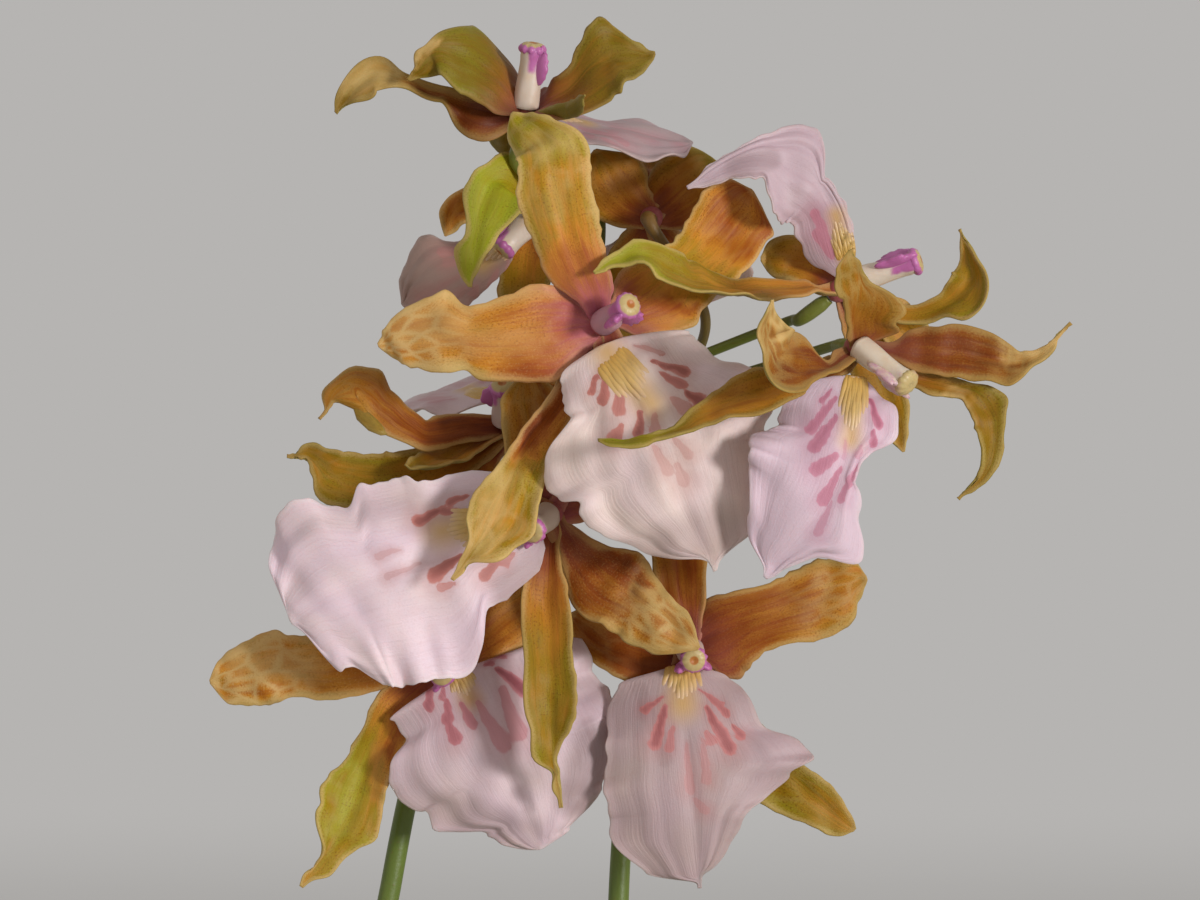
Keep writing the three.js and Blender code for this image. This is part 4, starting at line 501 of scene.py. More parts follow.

# How much painted shade darkens each bloom's sepals and petals, and its lip, and how flushed the stem of its column
# is.
PAINTED_SHADE_AND_BLUSH = {"front": (0, 0.2, 0.75), "left": (0.42, 0, 0.1), "low_left": (0.1, 0.3, 0.2), "low_right": (0.42, 0.72, 0.3),
    "mid_left": (0.4, 0.3, 0.3), "right": (0.75, 0.3, 0), "high_right": (0.3, 0.6, 0.05), "top": (0.85, 0.7, 0.1),
    "back_left": (0, 0.7, 0.1), "back_right": (0.4, 0.4, 0.2)}

# How lumpy a lip is, where it isn't the common 0.45 mm.
LUMPS = {"front": 0.5, "low_left": 0.3, "low_right": 0.28}

# How vivid the purple and orange of a column are, where they are faint.
VIVID = {"right": 0.32}


def srgb(value):
    """A colour written as 0xRRGGBB, as linear red, green, blue and alpha."""
    parts = [((value >> shift) & 255) / 255 for shift in (16, 8, 0)]
    return tuple(c / 12.92 if c <= 0.04045 else ((c + 0.055) / 1.055) ** 2.4 for c in parts) + (1.0,)


def unit(v):
    """Vectors of length one along v."""
    v = np.asarray(v, float)
    return v / (np.linalg.norm(v, axis=-1, keepdims=True) + 1e-12)


def ease(x, low, high):
    """0 below low, 1 above high, and smooth between them."""
    q = np.clip((x - low) / (high - low), 0, 1)
    return q * q * (3 - 2 * q)


def through(points, t):
    """Places t from 0 to 1 on the smooth curve through the points, the same as the source's curve."""
    p = np.asarray(points, float)
    last = len(p) - 1
    place = np.clip(t, 0, 1) * last
    low = np.minimum(place.astype(int), last - 1)
    w = (place - low)[..., None]
    before = np.where((low > 0)[..., None], p[np.maximum(low - 1, 0)], 2 * p[0] - p[1])
    after = np.where((low + 2 <= last)[..., None], p[np.minimum(low + 2, last)], 2 * p[last] - p[last - 1])
    a, b = p[low], p[low + 1]
    pull_a, pull_b = 0.5 * (b - before), 0.5 * (after - a)
    cubic = 2 * a - 2 * b + pull_a + pull_b
    square = 3 * b - 3 * a - 2 * pull_a - pull_b
    return a + pull_a * w + square * w**2 + cubic * w**3


def heading(points, t):
    """Directions of that curve at places t."""
    step = 1e-4
    return unit(through(points, np.clip(t + step, 0, 1)) - through(points, np.clip(t - step, 0, 1)))


def span(points):
    """Length of that curve."""
    line = through(points, np.linspace(0, 1, 60))
    return float(np.linalg.norm(np.diff(line, axis=0), axis=1).sum())


def waves(seed, count, fine, coarse):
    """A smooth random height over a plane, from seeded waves between two lengths."""
    draw = np.random.default_rng(seed)
    turn = draw.uniform(0, 2 * math.pi, count)
    pace = 2 * math.pi / np.exp(draw.uniform(math.log(fine), math.log(coarse), count))
    start = draw.uniform(0, 2 * math.pi, count)

    def height(x, y):
        total = 0
        for k in range(count):
            total = total + np.sin(pace[k] * (x * math.cos(turn[k]) + y * math.sin(turn[k])) + start[k])
        return total / math.sqrt(count)

    return height


def ripples(seed, count, fine, coarse):
    """A smooth random height along a line, from seeded waves between two lengths."""
    draw = np.random.default_rng(seed)
    pace = 2 * math.pi / np.exp(draw.uniform(math.log(fine), math.log(coarse), count))
    start = draw.uniform(0, 2 * math.pi, count)

    def height(x):
        return sum(np.sin(pace[k] * x + start[k]) for k in range(count)) / math.sqrt(count)

    return height


def faces_at(faces, t):
    """The listed face directions, blended from the foot of a blade to its tip."""
    rows = np.asarray(faces, float)
    if len(rows) == 1:
        return np.repeat(rows, len(t), axis=0)
    place = t * (len(rows) - 1)
    low = np.minimum(place.astype(int), len(rows) - 2)
    return rows[low] + (rows[low + 1] - rows[low]) * (place - low)[:, None]


def blade(spec, rows, columns):
    """A blade's middle surface on a grid from foot to tip and from edge to edge, and where each point is.

    It is the source's blade formula, with fine relief and edges on top, given by spec's own functions.
    """
    s = np.linspace(0, 1, rows + 1)
    v = np.linspace(-1, 1, columns + 1)
    u = (0.65 * v + 0.35 * np.sin(v * math.pi / 2))[None, :]
    outline = np.asarray(spec["outline"], float)
    row = through(outline, s)
    t = np.clip(row[:, 0], 0, 1)
    half = np.maximum(np.where(u < 0, row[:, 1:2], row[:, 2:3]), TIP_HALF)
    along = heading(spec["path"], t)
    normal = faces_at(spec["face"], t)
    normal = unit(normal - along * (normal * along).sum(1, keepdims=True))
    across = np.cross(normal, along)
    high, count, phase = spec["wave"]
    widest = outline[:, 1:].max()
    turn = 2 * math.pi * count * s[:, None] + phase + np.where(u > 0, SIDE_SHIFT, 0)
    lift = half * (spec["cup"] * u**2 + spec.get("fold", 0) * (1 - np.sqrt(u**2 + 0.004)))
    lift = lift + high * (half / widest) * np.abs(u) ** 3 * np.sin(turn)
    length = span(spec["path"])
    arc = np.repeat((t * length)[:, None], columns + 1, axis=1)
    flat = half * u
    tip = ease(1 - t, 0, 0.06)[:, None]
    if "edge" in spec:
        flat = flat + spec["edge"](arc + 300 * (u > 0)) * np.sign(u) * np.abs(u) ** 6 * tip
    if "relief" in spec:
        lift = lift + spec["relief"](arc, u, flat) * tip
    path = through(spec["path"], t)
    points = path[:, None] + across[:, None] * flat[..., None] + normal[:, None] * lift[..., None]
    out = unit(np.cross(np.gradient(points, axis=0), np.gradient(points, axis=1)))
    return {
        "points": points, "normals": out, "t": np.repeat(t[:, None], columns + 1, axis=1),
        "u": np.repeat(u, rows + 1, axis=0), "half": half, "arc": arc, "flat": flat,
        "length": length, "widest": widest,
    }


def shell(grid, thick, masks):
    """A closed shell over a blade's grid, thinner to its edges, with its masks on both faces."""
    u, t = np.abs(grid["u"]), grid["t"]
    depth = thick * (0.3 + 0.7 * np.sqrt(1 - 0.999 * u**4)) * (0.4 + 0.6 * ease(1 - t, 0, 0.12))
    offset = grid["normals"] * depth[..., None] / 2
    points = np.concatenate([(grid["points"] + offset).reshape(-1, 3), (grid["points"] - offset).reshape(-1, 3)])
    n, m = t.shape
    index = np.arange(n * m).reshape(n, m)
    a, b, c, d = index[:-1, :-1], index[1:, :-1], index[1:, 1:], index[:-1, 1:]
    front = np.stack([a, b, c, d], -1).reshape(-1, 4)
    back = np.stack([a, d, c, b], -1).reshape(-1, 4) + n * m
    loop = np.concatenate([index[:-1, 0], index[-1, :-1], index[:0:-1, -1], index[0, :0:-1]])
    after = np.roll(loop, -1)
    rim = np.stack([after, loop, loop + n * m, after + n * m], -1)
    both = {key: np.concatenate([value.reshape(n * m, -1)] * 2).squeeze() for key, value in masks.items()}
    both["back"] = np.repeat([0.0, 1.0], n * m)
    return points, np.concatenate([front, back, rim]), np.zeros((0, 3), int), both


def rings(count, sides, outward=False):
    """Faces of a closed body made of rings of points, followed by one point at each end."""
    index = np.arange(count * sides).reshape(count, sides)
    beside = np.roll(index, -1, axis=1)
    quads = np.stack([index[:-1], beside[:-1], beside[1:], index[1:]], -1).reshape(-1, 4)
    caps = np.concatenate([np.stack([np.full(sides, count * sides), beside[0], index[0]], -1),
        np.stack([np.full(sides, count * sides + 1), index[-1], beside[-1]], -1)])
    return (quads[:, [0, 3, 2, 1]], caps[:, [0, 2, 1]]) if outward else (quads, caps)


def bar(line, radius, sides, masks=None):
    """A closed round bar along a line of points, with its radius at each."""
    line, radius = np.asarray(line, float), np.asarray(radius, float)
    count = len(line)
    ahead = unit(np.gradient(line, axis=0))
    first = np.array([1.0, 0, 0]) if abs(ahead[0][0]) < 0.8 else np.array([0, 1.0, 0])
    hoops = []
    for k in range(count):
        first = unit(first - ahead[k] * first.dot(ahead[k]))
        second = np.cross(ahead[k], first)
        angle = 2 * math.pi * np.arange(sides) / sides
        spoke = np.outer(np.cos(angle), first) + np.outer(np.sin(angle), second)
        hoops.append(line[k] + radius[k] * spoke)
    points = np.concatenate([np.concatenate(hoops), line[:1], line[-1:]])
    steps = np.concatenate([[0], np.cumsum(np.linalg.norm(np.diff(line, axis=0), axis=1))])
    found = {"arc": steps}
    found.update({key: np.broadcast_to(value, count) for key, value in (masks or {}).items()})
    spread = {key: np.concatenate([np.repeat(value, sides), value[:1], value[-1:]]) for key, value in found.items()}
    return points, *rings(count, sides), spread


def even(masks, count):
    """Masks that have one value over all of a shape's points."""
    return {key: np.full(count, value) for key, value in (masks or {}).items()}


def ball(centre, axes, columns, rows, masks=None, bumps=None):
    """A closed ball with three axes, each as long as the ball reaches that way; bumps move its skin out."""
    tilt = np.linspace(0, math.pi, rows + 1)[1:-1]
    turn = 2 * math.pi * np.arange(columns) / columns
    skin = np.stack([np.outer(np.sin(tilt), np.cos(turn)), np.outer(np.sin(tilt), np.sin(turn)),
        np.outer(np.cos(tilt), np.ones(columns))], -1).reshape(-1, 3)
    skin = np.concatenate([skin, [[0, 0, 1], [0, 0, -1]]])
    size = 1 + (bumps(skin) if bumps else 0)
    points = np.asarray(centre, float) + (skin * np.reshape(size, (-1, 1))) @ np.asarray(axes, float)
    return points, *rings(rows - 1, columns, True), even(masks, len(points))


def turned(profile, sides):
    """A closed body turned about Z from [radius, height] rows that start and end on the axis."""
    rows = np.asarray(profile, float)
    inner = rows[1:-1]
    angle = 2 * math.pi * np.arange(sides) / sides
    points = np.stack([np.outer(inner[:, 0], np.cos(angle)), np.outer(inner[:, 0], np.sin(angle)),
        np.outer(inner[:, 1], np.ones(sides))], -1).reshape(-1, 3)
    points = np.concatenate([points, [[0, 0, rows[0, 1]], [0, 0, rows[-1, 1]]]])
    return points, *rings(len(inner), sides), {}


def piece(name, shapes, finish, slot, *nodes):
    """One object from several closed shapes, with its masks and finish, hiding the nodes it stands for; the slot is
    not used.
    """
    keys = sorted({key for shape in shapes for key in shape[3]})
    points, quads, caps, shift = [], [], [], 0
    masks = {key: [] for key in keys}
    for shape in shapes:
        points.append(shape[0])
        quads.append(shape[1] + shift)
        caps.append(shape[2] + shift)
        shift += len(shape[0])
        for key in keys:
            blank = np.zeros((len(shape[0]), 3)) if key == "grain" else np.zeros(len(shape[0]))
            masks[key].append(shape[3].get(key, blank))
    places = np.concatenate(points) * MM
    faces = np.concatenate(quads).tolist() + np.concatenate(caps).tolist()
    mesh = bpy.data.meshes.new(name)
    mesh.from_pydata(places.tolist(), [], faces)
    for key in keys:
        values = np.concatenate(masks[key]).astype(np.float32).ravel()
        kind, field = ("FLOAT_VECTOR", "vector") if key == "grain" else ("FLOAT", "value")
        mesh.attributes.new(key, kind, "POINT").data.foreach_set(field, values)
    mesh.shade_smooth()
    mesh.materials.append(finish)
    made = bpy.data.objects.new(name, mesh)
    bpy.context.scene.collection.objects.link(made)
    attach(made, BODY)
    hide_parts(*nodes)
    return made


def put(tree, kind, sockets=None, **settings):
    """A new node with its settings, its sockets set to values or joined to other nodes."""
    node = tree.nodes.new(kind)
    for key, value in settings.items():
        setattr(node, key, value)
    for key, value in (sockets or {}).items():
        if isinstance(value, bpy.types.NodeSocket):
            tree.links.new(value, node.inputs[key])
        else:
            node.inputs[key].default_value = value
    return node


def mask(tree, name):
    """A named value that the piece's points carry."""
    return put(tree, "ShaderNodeAttribute", attribute_name=name).outputs["Fac"]


def grain(tree, x, y, z=1.0):
    """The piece's own places in millimetres, across and along it, scaled."""
    place = put(tree, "ShaderNodeAttribute", attribute_name="grain").outputs["Vector"]
    return put(tree, "ShaderNodeVectorMath", {0: place, 1: (x, y, z)}, operation="MULTIPLY").outputs[0]


def body_place(tree, scale):
    """Places on the piece in the frame's own metres, scaled."""
    place = put(tree, "ShaderNodeTexCoord").outputs["Object"]
    return put(tree, "ShaderNodeVectorMath", {0: place, 3: scale}, operation="SCALE").outputs[0]


def noise(tree, place, detail=3.0, rough=0.55, warp=0.0, scale=1.0):
    """A cloudy value between 0 and 1 over the places."""
    found = {"Vector": place, "Scale": scale, "Detail": detail, "Roughness": rough, "Distortion": warp}
    return put(tree, "ShaderNodeTexNoise", found).outputs[0]


def cells(tree, place, feature="F1"):
    """Distances in a pattern of cells over the places."""
    found = {"Vector": place, "Scale": 1.0}
    return put(tree, "ShaderNodeTexVoronoi", found, feature=feature).outputs["Distance"]


def rise(tree, value, low, high, top=1.0):
    """0 below low, top above high, and smooth between them."""
    found = {0: value, 1: low, 2: high, 3: 0.0, 4: top}
    return put(tree, "ShaderNodeMapRange", found, interpolation_type="SMOOTHSTEP").outputs[0]


def reckon(tree, way, first, second=0.5, third=0.5):
    """Arithmetic on two or three values."""
    return put(tree, "ShaderNodeMath", {0: first, 1: second, 2: third}, operation=way).outputs[0]


def times(tree, first, second):
    """One value times another."""
    return reckon(tree, "MULTIPLY", first, second)


def scaled(tree, value, factor, added):
    """A value times a factor, with another value added."""
    return reckon(tree, "MULTIPLY_ADD", value, factor, added)


def tint(tree, amount, first, second, way="MIX"):
    """One colour going over into another by an amount."""
    found = {0: amount, 6: first, 7: second}
    return put(tree, "ShaderNodeMix", found, data_type="RGBA", blend_type=way).outputs[2]


def ramp(tree, value, stops):
    """A colour picked from stops of (place, colour)."""
    node = put(tree, "ShaderNodeValToRGB", {"Fac": value})
    marks = node.color_ramp.elements
    while len(marks) < len(stops):
        marks.new(0.5)
    for mark, (place, colour) in zip(marks, stops):
        mark.position = place
        mark.color = colour
    return node.outputs["Color"]


def new_finish(name, roughness, subsurface=0.0, glow=(0.01, 0.006, 0.004)):
    """A new material with its shader, some light passing under its skin."""
    material = bpy.data.materials.new(name)
    material.use_nodes = True
    shader = material.node_tree.nodes["Principled BSDF"]
    shader.inputs["Roughness"].default_value = roughness
    shader.inputs["Subsurface Weight"].default_value = subsurface
    shader.inputs["Subsurface Radius"].default_value = glow
    shader.inputs["Subsurface Scale"].default_value = 0.12
    return material, material.node_tree, shader


def surface(tree, shader, colour, height, depth, strength=0.6):
    """The colour and the fine relief of a finish, joined to its shader."""
    tree.links.new(colour, shader.inputs["Base Color"])
    relief = put(tree, "ShaderNodeBump", {"Height": height, "Distance": depth, "Strength": strength})
    tree.links.new(relief.outputs["Normal"], shader.inputs["Normal"])


def tepal_finish(look):
    """Sepal and petal skin: rust to lime, streaked, speckled and paler at its margin, darkened by painted shade."""
    material, tree, shader = new_finish("tepal_skin", 0.5, 0.1)
    shader.inputs["Specular IOR Level"].default_value = 0.2
    streak = noise(tree, grain(tree, 0.9, 0.06), 3.0, 0.6, 0.3)
    cloud = noise(tree, grain(tree, 0.16, 0.1), 2.0, 0.5)
    fine = noise(tree, grain(tree, 2.4, 2.4), 2.0, 0.6)
    tone = reckon(tree, "ADD", mask(tree, "tone"), scaled(tree, streak, 0.4, -0.2))
    tone = reckon(tree, "ADD", tone, scaled(tree, cloud, 0.5, -0.25))
    deep = look.deep
    colour = ramp(tree, tone, [(0.0, deep), (0.18, look.rust), (0.4, look.amber), (0.65, look.olive),
        (1.0, look.lime)])
    colour = tint(tree, rise(tree, streak, 0.52, 0.72, 0.2), colour, deep)
    spots = times(tree, rise(tree, fine, 0.54, 0.68, 0.55), rise(tree, cloud, 0.36, 0.56))
    colour = tint(tree, spots, colour, deep)
    dust = times(tree, rise(tree, fine, 0.46, 0.34, 0.2), mask(tree, "net"))
    colour = tint(tree, dust, colour, look.margin)
    lace = cells(tree, grain(tree, 0.27, 0.18), "DISTANCE_TO_EDGE")
    lace = scaled(tree, fine, 0.3, reckon(tree, "SUBTRACT", lace, 0.15))
    lace = times(tree, rise(tree, lace, 0.24, 0.0, 0.75), mask(tree, "net"))
    reach = rise(tree, mask(tree, "t"), 0.4, 0.72)
    colour = tint(tree, times(tree, lace, reach), colour, look.margin)
    pale = times(tree, mask(tree, "pale"), scaled(tree, cloud, 0.8, 0.3))
    colour = tint(tree, pale, colour, look.margin)
    rim = reckon(tree, "ADD", mask(tree, "rim"), scaled(tree, fine, 1.2, -0.6))
    uneven = times(tree, mask(tree, "net"), scaled(tree, cloud, 8.0, -2.4))
    rim = reckon(tree, "DIVIDE", rim, reckon(tree, "ADD", 1.0, reckon(tree, "MAXIMUM", uneven, 0.0)))
    rim = reckon(tree, "SUBTRACT", 0.6, rise(tree, rim, 0.15, 1.0, 0.6))
    colour = tint(tree, rim, colour, look.margin)
    foot = reckon(tree, "ADD", mask(tree, "t"), scaled(tree, streak, 0.2, -0.1))
    warm = times(tree, rise(tree, foot, 0.5, 0.14, 0.55), mask(tree, "flush"))
    colour = tint(tree, warm, colour, srgb(0xB4624A))
    foot = times(tree, rise(tree, foot, 0.28, 0.02), mask(tree, "flush"))
    colour = tint(tree, times(tree, foot, 0.95), colour, look.flush)
    # Painted shade: the whole blade is darkened where its bloom lies in shade.
    colour = tint(tree, mask(tree, "dull"), colour, srgb(0xB6B48A), "MULTIPLY")
    colour = tint(tree, times(tree, mask(tree, "back"), 0.45), colour, srgb(0x7E7C38))
    height = scaled(tree, fine, 0.5, streak)
    surface(tree, shader, colour, height, 0.0003, 0.5)
    return material


def lip_finish(look):
    """Lip skin: creamy pink to lilac, rose marks with soft edges, a yellow stain round the crest, and painted shade.
    """
    material, tree, shader = new_finish("lip_skin", 0.55, 0.2, (0.012, 0.007, 0.006))
    cloud = noise(tree, grain(tree, 0.08, 0.08), 2.0, 0.5)
    fan = noise(tree, grain(tree, 1.3, 0.07), 2.0, 0.6, 0.4)
    fine = noise(tree, grain(tree, 2.2, 2.2), 2.0, 0.6)
    cool = mask(tree, "cool")
    hue = scaled(tree, cloud, 0.7, mask(tree, "lilac"))
    colour = tint(tree, rise(tree, hue, 0.25, 1.25), look.cream, look.lilac)
    # Tan, partly the lip's own colour and partly painted shade on lips that lie in shade.
    colour = tint(tree, times(tree, mask(tree, "tan"), scaled(tree, cloud, 0.6, 0.6)), colour, look.tan)
    colour = tint(tree, rise(tree, fan, 0.5, 0.75, 0.1), colour, srgb(0xB08084))
    colour = tint(tree, rise(tree, fine, 0.5, 0.7, 0.12), colour, srgb(0xB98C90))
    rim = rise(tree, mask(tree, "rim"), 0.1, 1.2, 0.3)
    colour = tint(tree, reckon(tree, "SUBTRACT", 0.3, rim), colour, srgb(0xE6D8D2))
    # Painted shade: the lip is darkened where it lies in shade.
    colour = tint(tree, mask(tree, "dull"), colour, srgb(0xB8B0AC), "MULTIPLY")
    near = scaled(tree, cloud, 0.5, mask(tree, "crest"))
    colour = tint(tree, rise(tree, near, 0.6, 2.0, 0.8), colour, look.crest)
    ragged = scaled(tree, noise(tree, grain(tree, 1.1, 0.5), 3.0, 0.6), 0.36, -0.18)
    mark = reckon(tree, "ADD", mask(tree, "mark"), ragged)
    ink = mask(tree, "ink")
    body = times(tree, rise(tree, mark, -0.05, 0.26), reckon(tree, "MINIMUM", ink, 1.0))
    strong = reckon(tree, "MAXIMUM", reckon(tree, "SUBTRACT", ink, 0.7), 0.0)
    core = times(tree, rise(tree, mark, 0.2, 0.8, 0.9), strong)
    # A rose flush round the marks, partly the lip's own flush and partly painted shade in its throat.
    colour = tint(tree, rise(tree, mark, -2.6, 0.4, 0.24), colour, tint(tree, cool, srgb(0xB06A50), srgb(0xB45E86)))
    colour = tint(tree, body, colour, tint(tree, cool, look.brick, look.magenta))
    colour = tint(tree, core, colour, tint(tree, cool, srgb(0x7E3A2E), srgb(0x8E3A56)))
    colour = tint(tree, times(tree, mask(tree, "back"), 0.35), colour, srgb(0xC4A68E))
    height = scaled(tree, fine, 0.35, fan)
    surface(tree, shader, colour, height, 0.0003, 0.4)
    return material


def crest_finish(look):
    """Crest ridges: waxy yellow, orange at the root and cream at the tips."""
    material, tree, shader = new_finish("crest_skin", 0.42, 0.15)
    fine = noise(tree, body_place(tree, 900.0), 2.0, 0.6)
    along = scaled(tree, fine, 0.2, mask(tree, "t"))
    colour = ramp(tree, along, [(0.0, srgb(0xB4742C)), (0.3, look.crest), (0.7, srgb(0xCEA868)),
        (1.0, srgb(0xD2AE8C))])
    surface(tree, shader, colour, fine, 0.0002, 0.4)
    return material


def column_finish(look):
    """Column skin: cream, with purple wings, a pale cap and an orange mark in its middle."""
    material, tree, shader = new_finish("column_skin", 0.42, 0.15)
    fine = noise(tree, body_place(tree, 700.0), 2.0, 0.6)
    soft = noise(tree, body_place(tree, 260.0), 2.0, 0.5)
    colour = tint(tree, rise(tree, soft, 0.45, 0.75, 0.4), look.column, srgb(0xD9B98A))
    colour = tint(tree, mask(tree, "blush"), colour, srgb(0xA8688A))
    colour = tint(tree, mask(tree, "cap"), colour, look.cap)
    edge = scaled(tree, fine, 0.4, mask(tree, "wing"))
    colour = tint(tree, rise(tree, edge, 0.35, 0.75), colour, look.wing)
    colour = tint(tree, rise(tree, mask(tree, "dot"), 0.2, 0.8), colour, srgb(0xB06A28))
    surface(tree, shader, colour, fine, 0.0002, 0.4)
    return material


def stalk_finish(look):
    """Stalk skin: green, redder and speckled towards the light."""
    material, tree, shader = new_finish("stalk_skin", 0.45, 0.05)
    fine = noise(tree, body_place(tree, 1400.0), 2.0, 0.6)
    soft = noise(tree, body_place(tree, 60.0), 3.0, 0.6)
    colour = tint(tree, rise(tree, soft, 0.35, 0.7), look.stalk, srgb(0x66722A))
    colour = tint(tree, rise(tree, fine, 0.6, 0.75, 0.6), colour, srgb(0x6A3A28))
    colour = tint(tree, times(tree, mask(tree, "young"), 0.6), colour, srgb(0x76882E))
    colour = tint(tree, mask(tree, "warm"), colour, srgb(0x7A4620))
    colour = tint(tree, mask(tree, "paper"), colour, srgb(0xB59A62))
    surface(tree, shader, colour, fine, 0.0002, 0.4)
    return material


def leaf_finish(look):
    """Leaf skin: soft green with parallel veins, a paler keel and yellower tips."""
    material, tree, shader = new_finish("leaf_skin", 0.38, 0.06)
    veins = noise(tree, grain(tree, 1.4, 0.012), 3.0, 0.65)
    cloud = noise(tree, grain(tree, 0.05, 0.02), 3.0, 0.5)
    fine = noise(tree, grain(tree, 1.6, 0.8), 2.0, 0.6)
    colour = tint(tree, rise(tree, cloud, 0.3, 0.7), look.leaf, look.leaf_young)
    colour = tint(tree, rise(tree, veins, 0.48, 0.72, 0.45), colour, srgb(0x3F5E22))
    keel = reckon(tree, "SUBTRACT", 1.0, rise(tree, mask(tree, "mid"), 0.3, 1.5))
    colour = tint(tree, times(tree, keel, 0.5), colour, srgb(0xA2B45E))
    tip = scaled(tree, cloud, 0.1, mask(tree, "t"))
    colour = tint(tree, rise(tree, tip, 0.93, 1.06, 0.8), colour, srgb(0xA8863E))
    foot = reckon(tree, "SUBTRACT", 0.55, rise(tree, mask(tree, "t"), 0.0, 0.16, 0.55))
    colour = tint(tree, foot, colour, srgb(0xB9BE74))
    colour = tint(tree, times(tree, mask(tree, "back"), 0.4), colour, srgb(0x8FA05A))
    height = scaled(tree, fine, 0.25, veins)
    surface(tree, shader, colour, height, 0.0005, 0.6)
    return material


def bulb_finish(look):
    """Bulb skin: yellow-green with long ridges, brown papery shreds at the foot."""
    material, tree, shader = new_finish("bulb_skin", 0.46, 0.06)
    ridges = noise(tree, grain(tree, 0.55, 0.02), 3.0, 0.6)
    cloud = noise(tree, body_place(tree, 55.0), 3.0, 0.55)
    fine = noise(tree, body_place(tree, 900.0), 2.0, 0.6)
    colour = tint(tree, rise(tree, cloud, 0.35, 0.68), look.bulb, srgb(0x9AA24A))
    colour = tint(tree, rise(tree, ridges, 0.5, 0.75, 0.5), colour, srgb(0x5F7030))
    colour = tint(tree, rise(tree, fine, 0.62, 0.78, 0.5), colour, srgb(0x6E5326))
    sheath = scaled(tree, ridges, 0.5, mask(tree, "sheath"))
    colour = tint(tree, rise(tree, sheath, 0.68, 0.9, 0.95), colour, ramp(tree, ridges,
        [(0.35, srgb(0x7C5C36)), (0.65, srgb(0xC9AE7E))]))
    height = scaled(tree, fine, 0.3, ridges)
    surface(tree, shader, colour, height, 0.0009, 0.6)
    return material


def rhizome_finish(look):
    """Rhizome skin: brown-green with ringed papery scales."""
    material, tree, shader = new_finish("rhizome_skin", 0.6)
    soft = noise(tree, body_place(tree, 180.0), 3.0, 0.6)
    fine = noise(tree, body_place(tree, 900.0), 3.0, 0.65)
    colour = tint(tree, rise(tree, soft, 0.35, 0.7), look.rhizome, srgb(0x5C5A2E))
    colour = tint(tree, rise(tree, mask(tree, "ring"), 0.3, 0.9, 0.8), colour, srgb(0xB79A6A))
    surface(tree, shader, colour, fine, 0.0006, 0.7)
    return material


def bark_finish(look):
    """Bark chips: warm browns, each chip its own, with pale worn faces and dark gaps."""
    material, tree, shader = new_finish("bark_chips", 0.85)
    soft = noise(tree, body_place(tree, 120.0), 4.0, 0.65, 0.6)
    fine = noise(tree, body_place(tree, 700.0), 4.0, 0.7)
    layers = noise(tree, grain(tree, 0.12, 1.3), 3.0, 0.6, 0.5)
    shade = scaled(tree, soft, 0.5, scaled(tree, mask(tree, "chip"), 0.9, -0.2))
    colour = ramp(tree, shade, [(0.0, srgb(0x2E1C12)), (0.35, look.bark), (0.7, srgb(0x9A6A42)),
        (1.0, srgb(0xC39A6C))])
    colour = tint(tree, rise(tree, layers, 0.5, 0.7, 0.6), colour, srgb(0x40281A))
    colour = tint(tree, rise(tree, fine, 0.62, 0.78, 0.5), colour, srgb(0xC9B08C))
    height = scaled(tree, fine, 0.5, layers)
    surface(tree, shader, colour, height, 0.0012, 0.8)
    return material


def clay_finish(look):
    """Fired clay: terracotta with paler bloom, throwing marks and pores."""
    material, tree, shader = new_finish("fired_clay", 0.85)
    place = body_place(tree, 1.0)
    parts = put(tree, "ShaderNodeSeparateXYZ", {0: place}).outputs
    throws = noise(tree, put(tree, "ShaderNodeVectorMath", {0: place, 1: (8.0, 8.0, 420.0)},
        operation="MULTIPLY").outputs[0], 3.0, 0.6, 0.2)
    cloud = noise(tree, body_place(tree, 26.0), 4.0, 0.6, 0.5)
    fine = noise(tree, body_place(tree, 850.0), 4.0, 0.7)
    pores = cells(tree, body_place(tree, 520.0))
    colour = tint(tree, rise(tree, cloud, 0.3, 0.7), look.clay, look.clay_pale)
    colour = tint(tree, rise(tree, throws, 0.45, 0.75, 0.35), colour, srgb(0x9E5636))
    salts = times(tree, rise(tree, cloud, 0.5, 0.72), rise(tree, fine, 0.4, 0.65))
    low = reckon(tree, "SUBTRACT", 0.85, rise(tree, parts[2], 0.005, 0.07, 0.6))
    colour = tint(tree, times(tree, salts, low), colour, srgb(0xE2CDB8))
    colour = tint(tree, rise(tree, fine, 0.66, 0.8, 0.5), colour, srgb(0x7E452C))
    pits = times(tree, rise(tree, pores, 0.0, 0.22), 0.5)
    height = reckon(tree, "ADD", scaled(tree, fine, 0.4, throws), pits)
    surface(tree, shader, colour, height, 0.0005, 0.7)
    return material


def floor_finish(look):
    """A plain pale floor that goes over into the even background far from the plant."""
    material, tree, shader = new_finish("pale_floor", 0.9)
    place = put(tree, "ShaderNodeTexCoord").outputs["Object"]
    far = put(tree, "ShaderNodeVectorMath", {0: place}, operation="LENGTH").outputs["Value"]
    soft = noise(tree, place, 2.0, scale=3.0)
    colour = tint(tree, rise(tree, soft, 0.3, 0.7, 0.04), look.floor, srgb(0xFFFFFF))
    tree.links.new(colour, shader.inputs["Base Color"])
    haze = put(tree, "ShaderNodeEmission", {"Color": look.backdrop, "Strength": 1.0})
    both = put(tree, "ShaderNodeMixShader", {0: rise(tree, far, 2.5, 7.0)})
    tree.links.new(shader.outputs[0], both.inputs[1])
    tree.links.new(haze.outputs[0], both.inputs[2])
    tree.links.new(both.outputs[0], tree.nodes["Material Output"].inputs["Surface"])
    return material


def heart_of(bloom):
    """The middle of a bloom, the ball just behind it that its tepals share, and the way back."""
    heart = np.array(bloom["heart"], float) + (0, 0, HEAD_Z)
    back = -unit(bloom["facing"])
    return heart, heart + back * BOSS_BACK, back


def seen(points, heart):
    """Places in mm from a bloom's heart, across and up, as they look from the front."""
    near = [CAMERA_AWAY / (CAMERA_AWAY + place[..., 1:2]) for place in (points, heart)]
    return (points[..., ::2] - (0, HEAD_Z)) * near[0] - (heart[::2] - (0, HEAD_Z)) * near[1]


